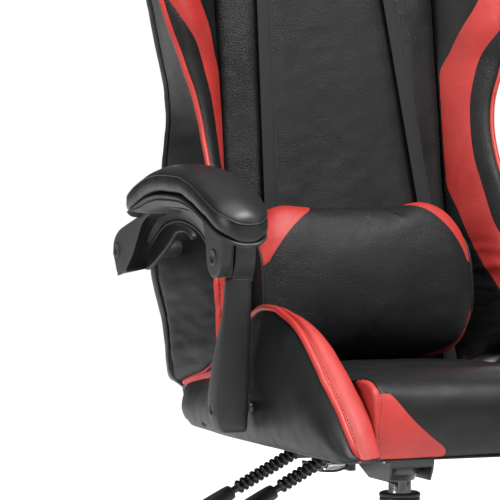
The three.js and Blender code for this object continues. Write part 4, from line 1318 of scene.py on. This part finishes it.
def arm_bosses(side, hand):
    """Washered bosses that stand in the upholstery and carry the arm."""
    for name, (y, z), body, r, x0, x1, pin in (
            ("front", FRONT_PIVOT, "seat", 6.4, 234, 253.6, 287),
            ("rear", REAR_PIVOT, "backrest", 10, 206, 253.4, 260.5)):
        boss = disc("boss", (0, y, z), r, side * x0, side * x1, STEEL, 2.0, 0.8)
        shaft = disc("shaft", (0, y, z), 5.8, side * x0, side * pin, STEEL, 0.8, 0.4, 24)
        ob = joined(f"arm_boss_{name}_{hand}", boss, shaft)
        set_piece(ob, body, "black_steel", f"arm_{name}_mount_{hand}")


for side, hand in sides():
    arm_pad(side, hand)
    arm_shell(side, hand)
    post(side, hand)
    arm_bosses(side, hand)

# ---------- mechanism and levers ----------


def channel():
    """Folded steel housing: flanged sides, notched front bar, axle and bolts."""
    flank = [(-36, 378.4), (-36, 338), (-28, 323.4), (28, 323.4), (70, 341), (150, 360), (150, 378.4)]
    flanks = [plate("flank", flank, side * 29, side * 26.2, STEEL, 0.5, 2) for side, _ in sides()]
    floor_points = [(26, 323.4), (28, 323.4), (70, 341), (150, 360), (150, 362.8), (70, 343.8), (26, 326.2)]
    floor = plate("floor", floor_points, -27, 27, STEEL, 0.4, 1)
    rim = plate("rim", [(-36, 376), (150, 376), (150, 378.4), (-36, 378.4)], -34, 34, STEEL, 0.5, 1)
    bar = plate("bar", [(-34.6, 375.6), (-38.0, 374), (-38.4, 368), (-36.6, 365), (-38.6, 361.6),
                        (-38.6, 344), (-36, 340.6), (-34.6, 340.6)], -28.6, 28.6, STEEL, 0.7, 2)
    lip = tube("lip", [(x, -38.4, 363.4 + (1.6 if abs(x) < 9 else 0)) for x in
                       (-27, -18, -13, -9, 0, 9, 13, 18, 27)], 1.3, STEEL, 8)
    bolts = [disc("bolt", (0, y, z), 6, side * 28.5, side * 33, material, 0.8, 0.8, corners)
             for side, _ in sides()
             for y, z, material, corners in ((-24, 352, ZINC, 24), (118, 366, STEEL, 6))]
    axle = disc("axle", (22, -30, 352), 5.4, -28, 31, ZINC, 0.7, 0.6, 24)
    ob = joined("tilt_housing", *flanks, floor, rim, bar, lip, axle, *bolts)
    set_piece(ob, "seat", "black_steel", "mechanism_channel")


def seat_plate():
    """Pressed plate with folded edges, ribs and its four bolts."""
    parts = [block("base", (-112, 112), (-120, 135), (379.2, 384.6), STEEL, 1.2)]
    for side, _ in sides():
        parts.append(tube("rib", smooth_line([(side * 60, -104, 379.4), (side * 60, 118, 379.4)], 12),
                          3.4, STEEL, 10, 1.0))
        for y in (-96, 108):
            parts.append(turned("head", [(0, 374.4), (5.2, 374.4), (6, 375.2), (6, 379), (9, 379.2),
                                         (9, 380.4), (0, 380.4)], ZINC, 6 if y < 0 else 24,
                                (side * 92, y, 0)))
    ob = joined("pressed_plate", *parts)
    set_piece(ob, "seat", "black_steel", "seat_plate")


def spring_unit():
    """Coil spring beside the levers, its rods and the small stop block."""
    turns, steps, radius = 14, 12, 6.4
    coil = [(-53 + 24 * i / (turns * steps), 104 + radius * math.cos(2 * math.pi * i / steps),
             332 + radius * math.sin(2 * math.pi * i / steps)) for i in range(turns * steps + 1)]
    spring = tube("return_coil", coil, 0.95, ZINC, 8)
    core = disc("core", (0, 104, 332), 4.2, -57, -26, STEEL, 0.6, 0.3, 20)
    rod = tube("rod", smooth_line([(-88, 96, 338), (-72, 100, 334), (-60, 104, 332), (-50, 104, 332)], 4),
               2.4, STEEL, 12)
    wire = tube("wire", smooth_line([(-80, 92, 330), (-64, 94, 326), (-44, 94, 325), (-28, 94, 329)], 4),
                1.5, STEEL, 10)
    stop = block("stop", (-28, -17), (92, 112), (324, 341), STEEL, 1.6)
    hanger = block("hanger", (-70, -62), (90, 112), (326, 379), STEEL, 1.0)
    ob = joined("return_spring", spring, core, rod, wire, stop, hanger)
    set_piece(ob, "seat", "polished_steel")


def lever_guide():
    """Folded bracket that carries the rear lever, with bright cut edges."""
    front = block("front", (-112, -74), (58, 62.6), (347, 379), STEEL, 0.6)
    rear = block("rear", (-112, -74), (87.4, 92), (347, 379), STEEL, 0.6)
    top = block("top", (-112, -74), (58, 92), (375, 379), STEEL, 0.6)
    clip = block("clip", (-110, -100), (62, 88), (346.6, 350), ZINC, 0.5)
    ob = joined("lever_guide", front, rear, top, clip)
    set_piece(ob, "seat", "black_steel", "lever_bracket")


def lever(name, body, y, start, elbow, tip, extra=()):
    """Bent rod, ribbed rubber sleeve and flat paddle with finger ridges."""
    slope = math.atan2(elbow[1] - tip[1], elbow[0] - tip[0])
    away = Vector((-math.cos(slope), 0, -math.sin(slope)))
    across = Vector((0, 1, 0))
    normal = across.cross(away).normalized()
    if normal.z < 0:
        normal = -normal
    size = math.hypot(elbow[0] - tip[0], elbow[1] - tip[1])

    def point(d, a=0.0, b=0.0):
        return tuple(Vector((elbow[0], y, elbow[1])) + away * d + across * a + normal * b)
    level = 361
    rod_line = [(start, y, level), (elbow[0] + 14, y, level), point(8), point(40), point(size + 40)]
    rod = tube(f"{name}_bar", smooth_line(rod_line, 5), 4.6, STEEL, 14)
    ob = joined(f"{name}_bar", rod, *extra) if extra else rod
    set_piece(ob, body, "black_steel", f"{name}_rod")
    rings = []
    first, pitch = 4, 7.4
    ribs = int((size - 6) / pitch)
    rib = ((0, 6.2), (0.08, 6.3), (0.16, 7.4), (0.27, 8.4), (0.5, 8.8), (0.73, 8.4), (0.84, 7.4), (0.92, 6.3))
    steps = [(first + (i + u) * pitch, r) for i in range(ribs) for u, r in rib]
    end = first + ribs * pitch
    for d, r in [(first, 4.8)] + steps + [(end, 6.2), (end, 4.8)]:
        rings.append([point(d, r * cos, r * sin) for cos, sin in circle(24)])
    sleeve = skin(f"{name}_grip", rings, [GLOSSY])
    set_piece(sleeve, body, "sleeve_rubber", f"{name}_sleeve")
    rings = []
    base = size + 1
    for z, half, thick in ((0, 8, 8), (1.5, 9, 8.6), (6, 10.5, 8.8), (16, 13.5, 8.6), (30, 17.5, 8),
                           (44, 20, 7.4), (60, 21, 6.8), (78, 20.6, 6.2), (90, 18.5, 5.6), (97, 14.5, 4.6),
                           (100.5, 9, 3.4)):
        rings.append([point(base + z, half * power(cos, 0.6), thick * power(sin, 0.75))
                      for cos, sin in circle(28)])
    blade = subdivided(skin("blade", rings, [PADDLE_WITH_PAINTED_HIGHLIGHT]))
    ridges = []
    for i in range(9):
        d = base + 44 + i * 5
        half = 15.5 - abs(i - 4) * 0.5
        top = 7.0 - i * 0.17
        ridges.append(tube("ridge", [point(d, a, top) for a in (-half, -half / 2, 0, half / 2, half)], 1.1,
                           PADDLE_WITH_PAINTED_HIGHLIGHT, 8, up=tuple(normal)))
    ob = joined(f"{name}_handle", blade, *ridges)
    set_piece(ob, body, "nylon", f"{name}_paddle")


def lift_head():
    """Chromed cylinder with its collar, the socket it is pressed into, and the release button."""
    outer = [(12.3, 72.3), (13.2, 72.2), (14, 73), (14, 200), (14, 351.4), (13.4, 352), (4.4, 352),
             (4.4, 327), (0.01, 327), (0.01, 299), (12.3, 299), (12.3, 72.3)]
    set_piece(turned("piston_tube", outer, CHROME, 64), "seat", "polished_steel", "gas_cylinder")
    socket = [(14.4, 322.8), (17, 322.6), (18.6, 323.6), (19.2, 327), (21.6, 329), (23.6, 332), (24, 336),
              (24, 349.4), (14.4, 349.8), (14.4, 322.8)]
    set_piece(turned("taper_socket", socket, STEEL, 48), "seat", "black_steel", "column_socket")
    button = [(0, 334.2), (3.9, 334.2), (3.9, 356.6), (3.2, 358.2), (0, 358.2)]
    set_piece(turned("release_button", button, ZINC, 24), "release", "polished_steel", "release_pin")


channel()
seat_plate()
spring_unit()
lever_guide()
lift_head()
tongue = block("tongue", (-25, 4), (-5, 5), (358.7, 362.3), STEEL, 0.6)
shank = disc("shank", (0, 0, 361), 3.9, -40, -22, STEEL, 0.5, 0.3, 20)
lever("lift_lever", "lift_lever", 0, -30, (-84, 361), (-165, 317), (tongue, shank))
lever("recline_lever", "recline_lever", 75, -78, (-96, 359), (-190, 309))

# ---------- base and casters ----------

LEG_ANGLES = [2 * math.pi * i / 5 for i in range(5)]
REACH, TRAIL, WHEEL_R = 318, 22, 28


def turned_about(ob, angle):
    """Turns a finished mesh about the column's axis."""
    axis = place((0, 0, 0))
    ob.data.transform(Matrix.Translation(axis) @ Matrix.Rotation(angle, 4, "Z") @ Matrix.Translation(-axis))
    return ob


def star():
    """Moulded five-leg base: domed legs with a raised spine, ribbed underside and caster bosses."""
    parts = []
    for angle in LEG_ANGLES:
        rings = []
        for y, half, low_z, high_z in ((22, 31, 72, 128), (44, 29, 72, 126), (90, 24.5, 75, 119.5),
                                       (140, 22, 76.5, 112), (200, 19.5, 77, 104), (260, 17.5, 73.5, 98),
                                       (296, 16, 71, 94), (306, 15, 70.5, 92.6)):
            flank = [(half * 0.16, high_z - 0.2), (half * 0.42, high_z - 0.6), (half * 0.72, high_z - 2.4),
                     (half * 0.92, high_z - 8), (half + 0.6, low_z + 4), (half, low_z)]
            section = flipped(flank[::-1], -1) + [(0, high_z + 0.8)] + flank
            section += [(half - 3.5, low_z), (half - 4.5, low_z + 9), (-half + 4.5, low_z + 9),
                        (-half + 3.5, low_z)]
            rings.append([(x, y, z) for x, z in section])
        leg = subdivided(skin("leg", rings, [NYLON]))
        boss = turned("boss", [(6, 70), (16.2, 70), (17, 71), (17.4, 88), (16.4, 92.6), (13, 94.6), (0, 95.4),
                               (0, 84), (6, 84), (6, 70)], NYLON, 32, (0, REACH, 0))
        cross = [block("rib", (-half, half), (y, y + 2.4), (76, 90), NYLON, 0.4)
                 for y, half in ((80, 20), (130, 18), (180, 16), (230, 14), (276, 12.5))]
        parts += [turned_about(o, angle) for o in (leg, boss, *cross)]
    hub = turned("hub", [(25.4, 72), (30, 71.6), (42, 72), (43.4, 73.4), (43.6, 112), (42, 122), (38, 129),
                         (33, 132), (29, 133), (26.4, 132.4), (25.4, 131), (25.4, 72)], NYLON, 64)
    ob = joined("five_leg_base", hub, *parts)
    set_piece(ob, "base", "nylon", "star_base")


def column():
    tube_profile = [(0, 46), (24, 46), (25, 47), (25, 300.6), (24.4, 301.7), (22.5, 301.7), (22.3, 50.4),
                    (0, 50.4), (0, 46)]
    set_piece(turned("outer_tube", tube_profile, STEEL, 64), "base", "black_steel", "gas_tube")
    bush = [(14.3, 236), (22, 236), (22, 302.1), (24.9, 302.3), (25.4, 303.4), (25.4, 305.4), (24.6, 307.2),
            (22.4, 308.2), (19.6, 307.4), (18.4, 306.4), (16.4, 306.2), (14.3, 307), (14.3, 236)]
    set_piece(turned("guide_bush", bush, NYLON, 64), "base", "nylon", "tube_bush")


def caster_hood(i, angle):
    """Twin-wheel hood: a hollow arched shell with a rounded rim, its stem, web and axle."""
    cy, cz = REACH + TRAIL, WHEEL_R
    arc = [math.pi * (-0.02 + 1.04 * k / 26) for k in range(27)]
    outer, inner = ([(cy + r * math.cos(a), cz + r * math.sin(a)) for a in arc] for r in (33.6, 30.8))
    rings = []
    for x, grow in ((-25, -2.6), (-24, -1), (-21.5, 0), (0, 0.6), (21.5, 0), (24, -1), (25, -2.6)):
        ring = [(x, cy + (y - cy) * (1 + grow / 33), cz + (z - cz) * (1 + grow / 33)) for y, z in outer]
        rings.append(ring + [(x, y, z) for y, z in inner[::-1]])
    shell = skin("shell", rings, [NYLON])
    web = plate("web", outer[2:-2] + [(cy - 24, cz - 4), (cy + 24, cz - 4)], -5, 5, NYLON, 1.0, 2)
    stem = turned("stem", [(0, 51), (11, 51), (12, 52), (12, 67), (11, 69), (7, 69.6), (5.4, 70), (5.4, 82),
                            (4.6, 83), (0, 83)], NYLON, 32, (0, REACH, 0))
    axle = disc("axle", (0, cy, cz), 5.8, -24.6, 24.6, ZINC, 0.6, 0.3, 24)
    ob = turned_about(joined(f"caster_fork_{i}", shell, web, stem, axle), angle)
    set_piece(ob, f"caster_{i}", "nylon", f"caster_hood_{i}")


def caster_wheel(i, which, side, angle):
    """A wheel with a rounded tread, a recessed face with five ribs and a hub cap."""
    cy, cz = REACH + TRAIL, WHEEL_R
    x0, x1 = 6.8, 25.4
    profile = [(6.2, x0), (24.4, x0), (27, x0 + 1), (27.9, x0 + 3.4), (27.9, x1 - 5), (27, x1 - 1.6),
               (24.6, x1), (21.6, x1), (20.6, x1 - 0.8), (19.8, x1 - 3), (10, x1 - 3.6), (9.2, x1 - 1),
               (8.4, x1), (6.2, x1), (6.2, x0)]
    wheel = turned("wheel", [(r, side * x) for r, x in profile], WHEEL, 48, (0, cy, cz), "x")
    ribs = []
    for cos, sin in circle(5):
        ends = [(side * (x1 - 2.2), cy + r * cos, cz + r * sin) for r in (9, 14.5, 20.4)]
        ribs.append(tube("rib", ends, 1.5, NYLON, 8))
    ob = turned_about(joined(f"caster_roller_{i}_{which}", wheel, *ribs), angle)
    set_piece(ob, f"wheel_{i}_{which}", "wheel_nylon", f"caster_wheel_{i}_{which}")


star()
column()
for i, angle in enumerate(LEG_ANGLES, 1):
    caster_hood(i, angle)
    caster_wheel(i, "a", 1, angle)
    caster_wheel(i, "b", -1, angle)

# ---------- CAD nodes that stay ----------

KEPT = {"piston_rod": CHROME, "seat_board": WOOD,
        "seat_bracket_left": STEEL, "seat_bracket_right": STEEL,
        "back_bracket_left": STEEL, "back_bracket_right": STEEL}
for node, material in KEPT.items():
    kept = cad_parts[node]
    for held in kept.material_slots:
        held.material = material
    if not kept.material_slots:
        kept.data.materials.append(material)

# ---------- studio ----------


def studio():
    s = Shader("studio_floor")
    s.set(Base_Color=s.blend(s.noise(3, 2), (0.98, 0.98, 0.98), (1.0, 1.0, 1.0)), Roughness=0.7)
    mesh = bpy.data.meshes.new("floor")
    r = 30
    mesh.from_pydata([(-r, -r, 0), (r, -r, 0), (r, r, 0), (-r, r, 0)], [], [(0, 1, 2, 3)])
    floor = link("floor", mesh, [s.mat])
    world = bpy.data.worlds.new("studio")
    world.use_nodes = True
    nodes, links = world.node_tree.nodes, world.node_tree.links
    sky, backdrop = nodes["Background"], nodes.new("ShaderNodeBackground")
    sky.inputs["Color"].default_value = backdrop.inputs["Color"].default_value = (1, 1, 1, 1)
    sky.inputs["Strength"].default_value = 0.16
    seen, pick = nodes.new("ShaderNodeLightPath"), nodes.new("ShaderNodeMixShader")
    links.new(seen.outputs["Is Camera Ray"], pick.inputs[0])
    links.new(sky.outputs[0], pick.inputs[1])
    links.new(backdrop.outputs[0], pick.inputs[2])
    links.new(pick.outputs[0], nodes["World Output"].inputs[0])
    scene.world = world
    above = bpy.data.lights.new("overhead", "SUN")
    above.energy, above.angle = 3.0, math.radians(60)
    lamp = bpy.data.objects.new("overhead", above)
    lamp.rotation_euler = (math.radians(8), math.radians(-6), 0)
    scene.collection.objects.link(lamp)

    def soft(name, at, aim, size, power):
        light = bpy.data.lights.new(name, "AREA")
        light.shape, light.size, light.size_y, light.energy = "RECTANGLE", size, size, power
        ob = bpy.data.objects.new(name, light)
        ob.location = at
        ob.rotation_euler = (Vector(aim) - Vector(at)).to_track_quat("-Z", "Y").to_euler()
        scene.collection.objects.link(ob)
    soft("top", (0.2, -1.4, 3.0), (0, 0, 0.6), 1.3, 175)
    soft("key", (1.8, -3.0, 2.0), (0, 0, 0.6), 0.9, 22)
    soft("side", (-3.2, -0.6, 1.5), (0, 0, 0.6), 1.2, 52)
    soft("rim", (1.2, 2.8, 2.2), (0, 0, 0.8), 1.4, 18)


def camera():
    data = bpy.data.cameras.new("camera")
    data.sensor_width = 36
    data.lens = 206.6
    data.clip_end = 100
    ob = bpy.data.objects.new("camera", data)
    ob.location = (-1.479, COLUMN_Y - 3.172, 0.736)
    ob.rotation_euler = Vector((0.3751, 0.9284, -0.0380)).to_track_quat("-Z", "Y").to_euler()
    scene.collection.objects.link(ob)
    scene.camera = ob


studio()
camera()
